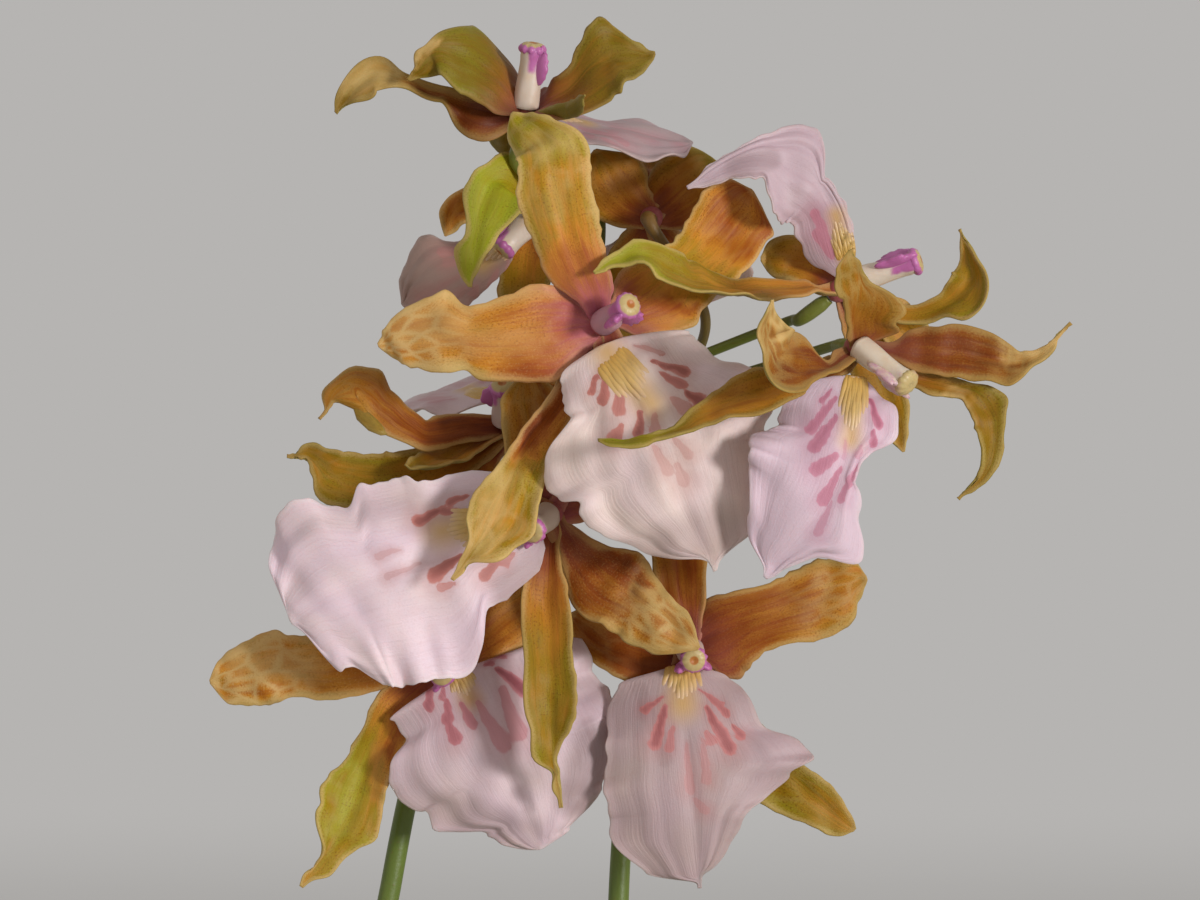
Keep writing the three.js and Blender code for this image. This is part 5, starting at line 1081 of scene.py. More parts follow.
def capsule(place, first, second, start_wide, end_wide):
    """How far inside a mark between two ends each place is: 1 on its middle line, 0 at its edge."""
    a, b = np.array(first, float), np.array(second, float)
    way = b - a
    share = np.clip(((place - a) @ way) / (way @ way), 0, 1)
    gap = np.linalg.norm(place - a - share[..., None] * way, axis=-1)
    return 1 - gap / (start_wide + (end_wide - start_wide) * share)


def tepal_shapes(name):
    """The closed shells of one bloom's sepals and petals, with the ball that carries them."""
    bloom = BLOOMS[name]
    heart, boss, back = heart_of(bloom)
    shapes = []
    for k, tepal in enumerate(bloom["tepals"]):
        foot, middle, tip, net, flush = TEPAL_LOOKS[name][k]
        outline = tepal.get("outline") or [[t, left * tepal["wide"] / 2, right * tepal["wide"] / 2]
            for t, left, right in OUTLINES[tepal["kind"]]]
        seed = SEEDS[name] + 10 * k
        lumps, edge = waves(seed, 8, 5, 24), ripples(seed + 1, 5, 3, 14)

        def relief(arc, u, flat, lumps=lumps):
            channel = -0.4 * np.exp(-((flat / 1.1) ** 2))
            beside = 0.06 * np.cos(flat * 2.9) * (1 - u**2)
            return channel + beside + 0.4 * lumps(arc, flat)

        spec = {**tepal, "path": [boss.tolist()] + [(heart + p).tolist() for p in tepal["path"]],
            "face": tepal.get("face", [[0, -1, 0]]), "outline": outline, "relief": relief,
            "edge": lambda x, edge=edge: 0.2 * edge(x)}
        grid = blade(spec, *((80, 28) if (name, k) in TEPAL_TONE_AND_LIGHT_PATCHES else (56, 20)))
        t = grid["t"]
        tone = foot + (middle - foot) * ease(t, 0.05, 0.5) + (tip - middle) * ease(t, 0.5, 1.0)
        tone = tone + 0.12 * ease(np.abs(grid["u"]), 0.5, 0.95)
        pale = np.zeros(t.shape)
        place = seen(grid["points"], heart)
        place = place + 0.7 * np.stack([lumps(place[..., 0] * 3, place[..., 1] * 3),
            lumps(place[..., 1] * 3, place[..., 0] * 3 + 50)], -1)
        # Patches of another tone, partly the blade's own colour and partly painted light and shade.
        for x1, z1, x2, z2, wide, other, paler in TEPAL_TONE_AND_LIGHT_PATCHES.get((name, k), ()):
            share = ease(capsule(place, (x1, z1), (x2, z2), wide * PATCH_SPREAD, wide * PATCH_SPREAD), 0, 0.9)
            tone = tone + (other - tone) * share * 0.85
            pale = np.maximum(pale, share * paler)
        rim = np.minimum(grid["half"] * (1 - np.abs(grid["u"])), (1 - t) * grid["length"])
        # The painted shade darkens the whole blade, less where a patch makes it paler.
        masks = {"t": t, "tone": tone, "rim": rim, "pale": pale,
            "net": np.full(t.shape, net), "flush": np.full(t.shape, flush), "dull": PAINTED_SHADE_AND_BLUSH[name][0] * (1 - 0.7 * pale),
            "grain": np.stack([grid["u"] * grid["widest"], grid["arc"], np.full(t.shape, 40.0 * k)], -1)}
        shapes.append(shell(grid, TEPAL_THICK, masks))
    # The ball that carries the blades gets the same painted shade.
    skin = {"t": 0.0, "tone": 0.3, "rim": 3.0, "flush": BOSS_FLUSH, "dull": PAINTED_SHADE_AND_BLUSH[name][0]}
    side = unit(np.cross(back, (0, 0, 1)))
    axes = np.stack([side * 0.74, np.cross(side, back) * 0.74, back]) * BOSS_RADIUS
    shapes.append(ball(boss, axes if np.linalg.det(axes) > 0 else axes * ((-1,), (1,), (1,)), 28, 18, skin))
    return shapes


def lip_grid(name):
    """One lip's middle surface, with its fans of folds, lumps and uneven edge, and its places as seen."""
    bloom = BLOOMS[name]
    heart, _, _ = heart_of(bloom)
    lip = bloom["lip"]
    seed = SEEDS[name] + 100
    lumps, dips, edge = waves(seed, 9, 7, 30), ripples(seed + 1, 4, 0.25, 0.9), ripples(seed + 2, 6, 2.6, 14)

    def relief(arc, u, flat):
        fan = 0.2 * dips(u + 0.02 * lumps(arc, flat)) * ease(np.abs(u), 0.1, 0.6) * ease(arc, 3, 14)
        gutter = -0.5 * np.exp(-((flat / 1.6) ** 2)) * ease(arc, 10, 16)
        total = fan + gutter + LUMPS.get(name, 0.45) * lumps(arc, flat) * ease(arc, 2, 10)
        for place, side, start, depth, wide in LIP_FOLDS.get(name, ()):
            reach = ease(u * side, start, 1.0)
            total = total + depth * reach * np.exp(-(((arc - place) / wide) ** 2))
        return total

    spec = {**lip, "path": [(heart + p).tolist() for p in lip["path"]], "relief": relief,
        "edge": lambda x: 0.24 * edge(x)}
    grid = blade(spec, *((108, 92) if name in LIP_MARKS else (60, 48)))
    if name in LIP_MARKS:
        return grid, seen(grid["points"], heart).reshape(-1, 2)
    up = -unit(np.subtract(lip["path"][-1], lip["path"][0]))
    right = unit(np.cross(up, -unit(lip["face"][0])))
    right = right if right.dot((1, 0, 0.01)) > 0 else -right
    return grid, (grid["points"] - heart).reshape(-1, 3) @ np.stack([right, up], -1)


def lip_shape(name):
    """The closed shell of one lip and the grid that its crest stands on."""
    crest_line, lilac, cool, tan = LIP_LOOKS[name]
    grid, place = lip_grid(name)
    draw = np.random.default_rng(SEEDS[name] + 200)
    sway = waves(SEEDS[name] + 201, 5, 1.5, 6)
    wobble = np.stack([sway(place[:, 0], place[:, 1]), sway(place[:, 1] + 40, place[:, 0])], -1) * 0.16
    mark, ink = np.full(len(place), -4.0), np.zeros(len(place))
    for x1, z1, x2, z2, wide, strength in LIP_MARKS.get(name, LIP_MARKS["low_right"]):
        ends = sorted([(x1, z1), (x2, z2)], key=lambda end: end[0] ** 2 + end[1] ** 2)
        found = capsule(place + wobble, ends[0], ends[1], wide * 0.24, wide * draw.uniform(0.56, 0.64))
        ink = np.where(found > mark, strength if name in LIP_MARKS else 0.3 * strength, ink)
        mark = np.maximum(mark, found)
    x1, z1, x2, z2, foot, tip = crest_line
    crest = capsule(place, (x1, z1), (x2, z2), foot * 1.4, tip * 1.1)
    # Painted shade over the whole lip, deeper in its listed patches.
    dull = np.full(len(place), PAINTED_SHADE_AND_BLUSH[name][1])
    for x1, z1, x2, z2, wide, share in LIP_PAINTED_SHADES.get(name, ()):
        inside = capsule(place, (x1, z1), (x2, z2), wide * SHADE_SPREAD, wide * SHADE_SPREAD)
        dull = np.maximum(dull, share * ease(inside, 0, 0.8))
    shape = grid["t"].shape
    masks = {
        "t": grid["t"], "mark": mark.reshape(shape), "ink": ink.reshape(shape),
        "crest": np.clip(crest + 0.6, -1, 2).reshape(shape),
        "cool": np.full(shape, cool), "lilac": np.full(shape, lilac), "tan": np.full(shape, tan),
        "dull": dull.reshape(shape),
        "rim": np.minimum(grid["half"] * (1 - np.abs(grid["u"])), (1 - grid["t"]) * grid["length"]),
        "grain": np.stack([grid["u"] * grid["widest"], grid["arc"], np.full(shape, 7.0)], -1),
    }
    return shell(grid, LIP_THICK, masks), grid, place


def crest_shapes(name, grid, place):
    """The raised ridges of one lip's crest, fanning from its root and lying on the lip."""
    x1, z1, x2, z2, foot, tip = LIP_LOOKS[name][0]
    start, end = np.array([x1, z1], float), np.array([x2, z2], float)
    way = unit(end - start)
    side = np.array([-way[1], way[0]])
    draw = np.random.default_rng(SEEDS[name] + 300)
    points, normals = grid["points"].reshape(-1, 3), grid["normals"].reshape(-1, 3)
    shapes = []
    for k in range(-4, 5):
        share = k / 4
        long = np.linalg.norm(end - start) * (1 - 0.34 * abs(share) + draw.uniform(-0.07, 0.07))
        t = np.linspace(0.0, 1.0, 22)
        bend = draw.uniform(-0.25, 0.25)
        spread = share * (foot + (tip - foot) * t**1.2) * 0.9 + bend * np.sin(3.1 * t)
        target = start + way * (long * t)[:, None] + side * spread[:, None]
        gap = ((target[:, None] - place[None]) ** 2).sum(2)
        near = np.argsort(gap, axis=1)[:, :8]
        weight = 1 / (np.take_along_axis(gap, near, 1) + 0.05)
        weight /= weight.sum(1, keepdims=True)
        line = (points[near] * weight[..., None]).sum(1)
        out = unit((normals[near] * weight[..., None]).sum(1))
        gap = (foot + (tip - foot) * t**1.2) * 0.225
        radius = gap * (0.98 + 0.08 * np.sin(t * 9 + k * 1.9)) * (1 - 0.45 * ease(t, 0.5, 1)) + 0.12
        proud = 0.42 * ease(t, 0, 0.3) * (1 - 0.4 * abs(share)) + 0.06 * np.sin(t * 13 + k * 2.3)
        proud = proud * (1 - ease(t, 0.55, 1.0)) - 0.3 * (1 - ease(t, 0, 0.16)) - 0.3 * ease(t, 0.84, 1.0)
        shapes.append(bar(line + out * (0.4 + proud - radius)[:, None], radius, 12, {"t": t}))
    return shapes


def column_shape(name):
    """One bloom's column: a dented stem with a lobed cap and ruffled wings at its sides."""
    bloom = BLOOMS[name]
    heart, _, _ = heart_of(bloom)
    ahead = np.array(bloom["column"], float)
    long = np.linalg.norm(ahead)
    ahead = ahead / long
    lip_way = np.subtract(bloom["lip"]["path"][1], bloom["lip"]["path"][0])
    side = unit(np.cross(ahead, lip_way))
    down = np.cross(side, ahead)
    if np.linalg.det(np.stack([side, down, ahead])) < 0:
        side = -side
    axes = np.stack([side, down, ahead])
    profile = np.array([[0.0, 0.98], [0.25, 0.96], [0.5, 0.86], [0.72, 0.82], [0.86, 0.88], [0.95, 0.84], [1.0, 0.5]])
    rows, sides = 36, 40
    s = np.linspace(0, 1, rows)
    reach = through(np.c_[profile, np.zeros(len(profile))], s)
    angle = 2 * math.pi * np.arange(sides) / sides
    tilt = np.cos(angle)[None, :]
    body = reach[:, 1:2] * COLUMN_RADIUS
    dent = 0.36 * ease(reach[:, 0:1], 0.35, 0.62) * (1 - ease(reach[:, 0:1], 0.8, 0.92))
    dent = dent * np.exp(-((1 - tilt) / 0.22))
    groove = 0.13 * ease(reach[:, 0:1], 0.82, 0.9) * np.exp(-((1 + tilt) / 0.04))
    radius = body * (1 - dent - groove + 0.02 * np.sin(angle * 5 + 8 * s[:, None]))
    high = reach[:, 0:1] * long + 0 * tilt
    local = np.stack([radius * np.sin(angle), radius * tilt * 0.92, high], -1).reshape(-1, 3)
    local = np.concatenate([local, [[0, 0, 0], [0, 0, long * 1.02]]])
    share = local[:, 2] / long
    front = ease(share, 0.84, 0.95)
    around = np.hypot(local[:, 0], local[:, 1])
    vivid = VIVID.get(name, 1.0)
    masks = {
        "cap": front, "wing": 0.7 * vivid * ease(np.abs(local[:, 0]), 1.7, 2.6) * ease(share, 0.45, 0.7),
        "dot": vivid * front * (1 - ease(around, 0.5, 1.3)), "blush": np.full(len(local), PAINTED_SHADE_AND_BLUSH[name][2]),
    }
    shapes = [(heart + local @ axes, *rings(rows, sides, True), masks)]
    lobe = np.stack([side * 2.7, down * 2.75, ahead * 1.5])
    centre, teeth = heart + ahead * long * 0.93, ripples(SEEDS[name] + 380, 3, 0.4, 0.9)
    disc = ball(centre, lobe, 44, 22, {"cap": 1.0}, lambda skin: 0.05 * teeth(np.arctan2(skin[:, 1], skin[:, 0]))
        * (1 - skin[:, 2] ** 2) - 0.3 * np.exp(-((np.hypot(skin[:, 0], skin[:, 1]) / 0.3) ** 2)) * (skin[:, 2] > 0))
    away = np.linalg.norm((disc[0] - centre) @ axes[:2].T, axis=1)
    disc[3]["dot"] = vivid * (1 - ease(away, 0.5, 1.3)) * ((disc[0] - centre) @ ahead > 0)
    disc[3]["wing"] = 0.62 * vivid * ease(away, 1.9, 2.6)
    shapes.append(disc)
    for way in (-1, 1):
        frill = ripples(SEEDS[name] + 400 + way, 4, 0.5, 1.6)
        middle = heart + side * way * 1.7 + down * 1.5 + ahead * long * 0.68
        lean = np.stack([side * 1.9 + down * 1.1 * way, down * 1.7 - side * 0.8 * way, ahead * long * 0.29])

        def bumps(skin, frill=frill):
            turn = np.arctan2(skin[:, 2], skin[:, 0])
            return 0.16 * frill(turn) * (1 - skin[:, 1] ** 2)

        wing = ball(middle, lean * np.array([[1.0], [0.5], [1.0]]), 40, 16, {"wing": vivid}, bumps)
        shapes.append(wing)
    return shapes


def stalk_shapes(name):
    """One flower stalk with its pedicels, swelling behind each bloom, and its small bracts."""
    stops, pedicels = SCAPES[name]
    steps = np.linspace(0, 1, 150)
    line = through(stops, steps)
    nodes = [0.16, 0.3, 0.44] + sorted(leaves for leaves, _ in pedicels.values())
    radius = 2.35 - 0.75 * ease(steps, 0.2, 1.0)
    for place in nodes:
        radius = radius + 0.22 * np.exp(-(((steps - place) / 0.006) ** 2))
    shapes = [bar(line, radius, 22, {"young": steps, "paper": 0.0})]
    for bloom_name, (leaves, via) in pedicels.items():
        _, boss, back = heart_of(BLOOMS[bloom_name])
        end, before = boss + back * (BOSS_RADIUS + 0.15), boss + back * 11
        start = through(stops, np.array([leaves]))[0]
        t = np.linspace(0, 1, 56)
        way = through([start, via, before, end], t)
        thick = 1.05 + 0.5 * ease(t, 0.5, 0.82) - 0.35 * ease(t, 0.9, 1.0)
        ribs = {"young": 0.4 + 0.6 * t, "paper": 0.0, "warm": (0.85 if bloom_name == "back_right" else 0.2) * t**0.3}
        shapes.append(bar(way, thick, 16, ribs))
    for place in nodes[:3]:
        foot = through(stops, np.array([place]))[0]
        ahead = heading(stops, np.array([place]))[0]
        t = np.linspace(0, 1, 14)
        path = foot + ahead * (t * 16)[:, None]
        flare = 2.75 - 0.9 * t
        shapes.append(bar(path, flare * (1 - 0.6 * ease(t, 0.75, 1)), 20, {"young": 0.3, "paper": 0.35 + 0.65 * t}))
    return shapes


def leaf_shape(leaf, number):
    """One strap leaf, folded along its keel, with fine parallel veins."""
    start, way, long, wide, reach, climb = leaf
    turn = math.radians(way)
    out = np.array([math.cos(turn), math.sin(turn)])
    if isinstance(start, tuple):
        foot = np.array([*start, LEAF_FOOT_Z], float)
    else:
        (x, y), _, tall = BULBS[start]
        foot = np.array([x + 3.4 * out[0], y + 3.4 * out[1], BULB_FOOT_Z + BULB_HEIGHT * tall + 0.4])
    stops = [[0, 0], [0.05, 0.3], [0.3, 0.72], [0.66, 0.96], [1, 0.9]]
    path = [[foot[0] + out[0] * a * reach * long, foot[1] + out[1] * a * reach * long, foot[2] + b * climb * long]
        for a, b in stops]
    outline = [[t, left * wide / 2, right * wide / 2] for t, left, right in LEAF_OUTLINE]
    lumps, edge = waves(900 + number, 6, 18, 70), ripples(940 + number, 5, 9, 50)
    spec = {"path": path, "outline": outline, "face": [[-out[0], -out[1], 0.2], [-0.3 * out[0], -0.3 * out[1], 1]],
        "cup": 0, "fold": LEAF_FOLD, "wave": [0.8, 1.5, way],
        "relief": lambda arc, u, flat: 0.35 * lumps(arc, flat) + 0.09 * np.cos(flat * 2.4) * (1 - np.abs(u)),
        "edge": lambda x: 0.3 * edge(x)}
    grid = blade(spec, 100, 18)
    t = grid["t"]
    masks = {"t": t, "mid": np.abs(grid["flat"]),
        "grain": np.stack([grid["flat"], grid["arc"], np.full(t.shape, 30.0 * number)], -1)}
    return shell(grid, LEAF_THICK, masks)


def bulb_shape(bulb, number):
    """One flattened pseudobulb, ridged from foot to top, with papery sheaths at its foot."""
    spot, turn, tall = bulb
    stops = np.array([[0.6, 0.0], [0.86, 0.16], [1, 0.38], [0.86, 0.64], [0.56, 0.86], [0.3, 1.0]])
    rows, sides = 72, 72
    s = np.linspace(0, 1, rows)
    profile = through(np.c_[stops, np.zeros(len(stops))], s)
    angle = 2 * math.pi * np.arange(sides) / sides
    ribs = ripples(1200 + number, 5, 0.28, 0.9)
    lumps = waves(1230 + number, 6, 12, 40)
    high = profile[:, 1:2] * BULB_HEIGHT * tall + 0 * angle
    ridge = 1 + 0.016 * ribs(angle)[None, :] * np.sin(math.pi * np.clip(profile[:, 1:2], 0, 1)) - 0.02
    sheath = 0.9 * (1 - ease(high, 8, 20 + 5 * ribs(angle + 2)[None, :])) + 0.35 * ease(high, 1, 3)
    radius = profile[:, 0:1] * BULB_RADIUS * ridge + 0.15 * lumps(high, angle * 10)
    local = np.stack([radius * np.cos(angle), radius * np.sin(angle) * BULB_FLATNESS, high], -1).reshape(-1, 3)
    local = np.concatenate([local, [[0, 0, 0], [0, 0, BULB_HEIGHT * tall]]])
    turn = math.radians(turn)
    spin = np.array([[math.cos(turn), math.sin(turn), 0], [-math.sin(turn), math.cos(turn), 0], [0, 0, 1]])
    masks = {
        "sheath": np.append(sheath.ravel(), [1.0, 0.0]),
        "grain": np.concatenate([np.stack([np.tile(angle * BULB_RADIUS, rows), high.ravel(),
            np.full(rows * sides, 20.0 * number)], -1), np.zeros((2, 3))]),
    }
    return local @ spin + (*spot, BULB_FOOT_Z), *rings(rows, sides), masks


def rhizome_shape():
    """The creeping rhizome, ringed with the scars of its papery scales."""
    steps = np.linspace(0, 1, 160)
    line = through([[x, y, RHIZOME_Z] for x, y in RHIZOME], steps)
    long = steps * span([[x, y, RHIZOME_Z] for x, y in RHIZOME])
    ring = np.maximum(0, np.cos(long * 2 * math.pi / 5.5)) ** 6
    radius = (RHIZOME_RADIUS - 0.5 + 0.4 * ring) * np.minimum(1, 0.45 + np.sqrt(np.minimum(steps, 1 - steps) * 14))
    return bar(line, radius, 30, {"ring": ring})


def pot_inside(z):
    """Radius of the pot's inner wall at a height."""
    return 41 + 20.5 * (z - 8) / 101


def heap_top(r):
    """Height of the heap of bark at a distance from the pot's middle."""
    return 95.6 + 3.4 * (1 - (r / 61) ** 2)


def chip_shape(centre, size, draw):
    """One rounded bark chip, turned any way, with layers along its length."""
    bumps_at = waves(int(draw.integers(1, 10**6)), 5, 0.5, 1.6)
    axes = np.eye(3) * size
    turn = draw.normal(size=(3, 3)) * (1, 1, 0.45) + np.diag([0, 0, 1.6])
    ways, _ = np.linalg.qr(turn)

    def bumps(skin):
        boxy = 0.28 - 0.324 * (np.abs(skin) ** 4).sum(1)
        return boxy + 0.05 * bumps_at(skin[:, 0] * 1.7, skin[:, 1] * 1.7 + skin[:, 2])

    points, quads, caps, _ = ball((0, 0, 0), axes, 16, 11, None, bumps)
    shade = float(draw.uniform(0, 1))
    masks = {"chip": np.full(len(points), shade), "grain": points + draw.uniform(-99, 99, 3)}
    return np.asarray(centre) + points @ ways, quads, caps, masks


def medium_shapes(seed):
    """The heap of bark in the pot and the loose chips on top of it."""
    draw = np.random.default_rng(seed)
    heap = waves(seed + 1, 9, 7, 30)
    rows = [[0, 8.3]] + [[pot_inside(z) - BED_GAP, z] for z in np.linspace(8.4, 95, 20)]
    radii = np.linspace(pot_inside(95) - BED_GAP - 1, 0, 26)
    rows += [[r, heap_top(r)] for r in radii[:-1]] + [[0, 99]]
    points, quads, caps, _ = turned(rows, 120)
    top = points[:, 2] > 95.4
    points[top, 2] += 0.7 * heap(points[top, 0], points[top, 1])
    bed = {"chip": np.full(len(points), 0.1), "grain": points}
    shapes = [(points, quads, caps, bed)]
    feet = [np.array(start) for start, *_ in LEAVES if isinstance(start, tuple)]
    feet += [np.array(stops[0][:2]) for stops, _ in SCAPES.values()]
    rhizome = through([[x, y, 0] for x, y in RHIZOME], np.linspace(0, 1, 40))[:, :2]
    kept = []
    for _ in range(CHIP_TRIES):
        if len(kept) >= CHIPS:
            break
        size = np.array([draw.uniform(4.6, 8), draw.uniform(3.4, 5.4), draw.uniform(1.9, 3.0)])
        r, angle = 55.5 * math.sqrt(draw.uniform()), draw.uniform(0, 2 * math.pi)
        spot = np.array([r * math.cos(angle), r * math.sin(angle)])
        if r + size[0] > 60.5 or min(np.linalg.norm(spot - f) for f in feet) < size[0] + 2.2:
            continue
        if np.linalg.norm(rhizome - spot, axis=1).min() < 8 or min(
                (np.linalg.norm(spot - np.array(bulb)) for bulb, _, _ in BULBS)) < 15:
            continue
        if any(np.linalg.norm(spot - other[:2]) < 0.62 * (size[0] + other[3]) for other in kept):
            continue
        ground = heap_top(r)
        kept.append(np.array([spot[0], spot[1], ground, size[0]]))
        shapes.append(chip_shape((spot[0], spot[1], ground + size[2] * 0.35), size, draw))
    return shapes


def pot_shape(wobble):
    """The clay pot's wall, turned with a slight unevenness, its rim and foot rounded."""
    rows = [[0, 0], [20, 0], [41, 0], [43.6, 0.25], [44.7, 1.0]]
    rows += [[45 + 17 * z / 92, z] for z in np.linspace(2.5, 91, 34)]
    rows += [[62.1, 91.8], [63, 92.0], [66.2, 92.05], [67.2, 92.5], [67.9, 93.6], [68, 95], [68, 99], [68, 104],
        [68, 109], [67.7, 110.8], [66.7, 111.8], [65.4, 112], [64, 112], [62.7, 111.6], [61.9, 110.6], [61.5, 109]]
    rows += [[pot_inside(z), z] for z in np.linspace(107, 10, 24)]
    rows += [[40.2, 8.5], [39, 8], [20, 8], [0, 8]]
    points, quads, caps, masks = turned(rows, 128)
    angle = np.arctan2(points[:, 1], points[:, 0])
    lean = 1 + wobble * 0.0012 * (np.sin(2 * angle + points[:, 2] / 60) + 0.6 * np.sin(3 * angle + 1.3) - 1.6)
    inner = np.hypot(points[:, 0], points[:, 1]) < pot_inside(np.maximum(points[:, 2], 8)) + 0.1
    points[:, :2] *= np.where(inner & (points[:, 2] > 7.9), 1.0, lean)[:, None]
    return points, quads, caps, masks


def drill(pot, radius, spots):
    """Cuts round drain holes through the pot's floor."""
    for number, (x, y) in enumerate(spots):
        mesh = bpy.data.meshes.new("drill_%d" % number)
        rows = [[0, -3], [radius, -3], [radius, 12], [0, 12]]
        points, quads, caps, _ = turned(rows, 40)
        points = (points + (x, y, 0)) * MM
        mesh.from_pydata(points.tolist(), [], quads.tolist() + caps.tolist())
        tool = bpy.data.objects.new("drill_%d" % number, mesh)
        bpy.context.scene.collection.objects.link(tool)
        cut = pot.modifiers.new("drain", "BOOLEAN")
        cut.operation = "DIFFERENCE"
        cut.solver = "EXACT"
        cut.object = tool
        depsgraph = bpy.context.evaluated_depsgraph_get()
        cut_mesh = bpy.data.meshes.new_from_object(pot.evaluated_get(depsgraph))
        pot.modifiers.clear()
        pot.data = cut_mesh
        bpy.data.objects.remove(tool, do_unlink=True)


def colour_setting(name, description, value):
    """A colour that a user can change, with its first value."""
    return FloatVectorProperty(name=name, description=description, subtype="COLOR", size=4, min=0, max=1,
        default=srgb(value))


class ORCHID_PG_bloom(bpy.types.PropertyGroup):
    """Colours of the blooms."""

    deep: colour_setting("Deep rust", "Darkest tone of the sepals and petals", 0x6E2C00)
    rust: colour_setting("Rust", "Red-brown tone of the sepals and petals", 0x9C4C0C)
    amber: colour_setting("Amber", "Warm tone of the sepals and petals", 0xC88426)
    olive: colour_setting("Olive", "Green-brown tone of the sepals and petals", 0xA0800E)
    lime: colour_setting("Lime", "Greenest tone of the sepals and petals", 0xA6AA22)
    margin: colour_setting("Margin", "Pale edge and netting of the sepals and petals", 0xD2B074)
    flush: colour_setting("Flush", "Magenta at the foot of the sepals and petals", 0xBC667E)
    cream: colour_setting("Lip cream", "Warmest ground colour of the lips", 0xE8D2C8)
    lilac: colour_setting("Lip lilac", "Coolest ground colour of the lips", 0xE4CAD7)
    # Tan is partly the lips' own colour and partly painted shade for the lips that lie in shade.
    tan: colour_setting("Lip tan", "Tan that the duller lips go over into", 0xAC8670)
    brick: colour_setting("Warm marks", "Marks on the warmest lips", 0xBC7666)
    magenta: colour_setting("Cool marks", "Marks on the coolest lips", 0xC07A92)
    crest: colour_setting("Crest", "Ridges in the middle of the lips", 0xCCA050)
    column: colour_setting("Column", "Stem of the columns", 0xDCCCB8)
    cap: colour_setting("Cap", "Cap at the end of the columns", 0xBEA670)
    wing: colour_setting("Wings", "Ruffled wings of the columns", 0xB8669E)


class ORCHID_PG_plant(bpy.types.PropertyGroup):
    """Colours of the stalks, leaves, bulbs and rhizome."""

    stalk: colour_setting("Stalk", "Green of the flower stalks", 0x526222)
    leaf: colour_setting("Leaf", "Green of the leaves", 0x5E7D30)
    leaf_young: colour_setting("Young leaf", "Lighter green that clouds the leaves", 0x86A048)
    bulb: colour_setting("Bulb", "Green of the bulbs", 0x7C8C3C)
    rhizome: colour_setting("Rhizome", "Brown of the rhizome", 0x7A6038)


class ORCHID_PG_pot(bpy.types.PropertyGroup):
    """Colours and making of the pot and its bark."""

    clay: colour_setting("Clay", "Fired clay", 0xB5694A)
    clay_pale: colour_setting("Pale clay", "Lighter clay that clouds the pot", 0xC98768)
    bark: colour_setting("Bark", "Middle brown of the bark chips", 0x6E4528)
    wobble: FloatProperty(name="Wobble", description="Unevenness of the pot's wall", default=1.0, min=0, max=2)
    drain: FloatProperty(name="Drain holes", description="Radius of the drain holes", default=0.005, min=0.002,
        max=0.007, unit="LENGTH")
    seed: IntProperty(name="Bark seed", description="Which random lay the bark chips have", default=7, min=1)


class ORCHID_PG_stage(bpy.types.PropertyGroup):
    """Floor, light and camera."""

    floor: colour_setting("Floor", "Pale floor", 0xC6C4C0)
    backdrop: colour_setting("Backdrop", "Even background far from the plant", 0xB6B4B2)
    away: FloatProperty(name="Camera distance", description="From the camera to the middle of the plant",
        default=1.2, min=0.5, max=5, unit="LENGTH")
    eye: FloatProperty(name="Camera height", description="Height of the camera", default=0.48, min=0, max=2,
        unit="LENGTH")
    lens: FloatProperty(name="Lens", description="Focal length of the camera", default=180, min=20, max=400,
        unit="CAMERA")
    key: FloatProperty(name="Key light", description="Power of the main light", default=21.0, min=0, max=400,
        unit="POWER")
    fill: FloatProperty(name="Fill light", description="Power of the soft light opposite", default=2.0, min=0,
        max=400, unit="POWER")


class ORCHID_OT_tepals(bpy.types.Operator):
    """Make the sepals and petals of every bloom."""

    bl_idname = "orchid.tepals"
    bl_label = "Sepals and petals"

    def execute(self, context):
        finish = tepal_finish(context.scene.orchid_bloom)
        for name in BLOOMS:
            piece("%s_tepals" % name, tepal_shapes(name), finish, "tepal", "tepals_" + name)
        return {"FINISHED"}


class ORCHID_OT_lips(bpy.types.Operator):
    """Make the lip of every bloom with the ridges of its crest."""

    bl_idname = "orchid.lips"
    bl_label = "Lips and crests"

    def execute(self, context):
        look = context.scene.orchid_bloom
        skin, crest_skin = lip_finish(look), crest_finish(look)
        for name in BLOOMS:
            shape, grid, place = lip_shape(name)
            piece("%s_lip" % name, [shape], skin, "lip", "lip_" + name)
            piece("%s_crest" % name, crest_shapes(name, grid, place), crest_skin, "lip", "lip_" + name)
        return {"FINISHED"}


class ORCHID_OT_columns(bpy.types.Operator):
    """Make the column of every bloom."""

    bl_idname = "orchid.columns"
    bl_label = "Columns"

    def execute(self, context):
        finish = column_finish(context.scene.orchid_bloom)
        for name in BLOOMS:
            piece("%s_column" % name, column_shape(name), finish, "column", "column_" + name)
        return {"FINISHED"}


class ORCHID_OT_stalks(bpy.types.Operator):
    """Make the two flower stalks with their pedicels."""

    bl_idname = "orchid.stalks"
    bl_label = "Flower stalks"

    def execute(self, context):
        finish = stalk_finish(context.scene.orchid_plant)
        for name in SCAPES:
            piece("%s_stalk" % name, stalk_shapes(name), finish, "stalk", "scape_" + name)
        return {"FINISHED"}


class ORCHID_OT_leaves(bpy.types.Operator):
    """Make the strap leaves."""

    bl_idname = "orchid.leaves"
    bl_label = "Leaves"

    def execute(self, context):
        finish = leaf_finish(context.scene.orchid_plant)
        for number, leaf in enumerate(LEAVES, 1):
            piece("leaf_blade_%d" % number, [leaf_shape(leaf, number)], finish, "leaf", "leaf_%d" % number)
        return {"FINISHED"}


class ORCHID_OT_bulbs(bpy.types.Operator):
    """Make the pseudobulbs and the rhizome under them."""

    bl_idname = "orchid.bulbs"
    bl_label = "Bulbs and rhizome"

    def execute(self, context):
        look = context.scene.orchid_plant
        finish = bulb_finish(look)
        for number, bulb in enumerate(BULBS, 1):
            piece("bulb_body_%d" % number, [bulb_shape(bulb, number)], finish, "bulb", "bulb_%d" % number)
        piece("rhizome_body", [rhizome_shape()], rhizome_finish(look), "rhizome", "rhizome")
        return {"FINISHED"}


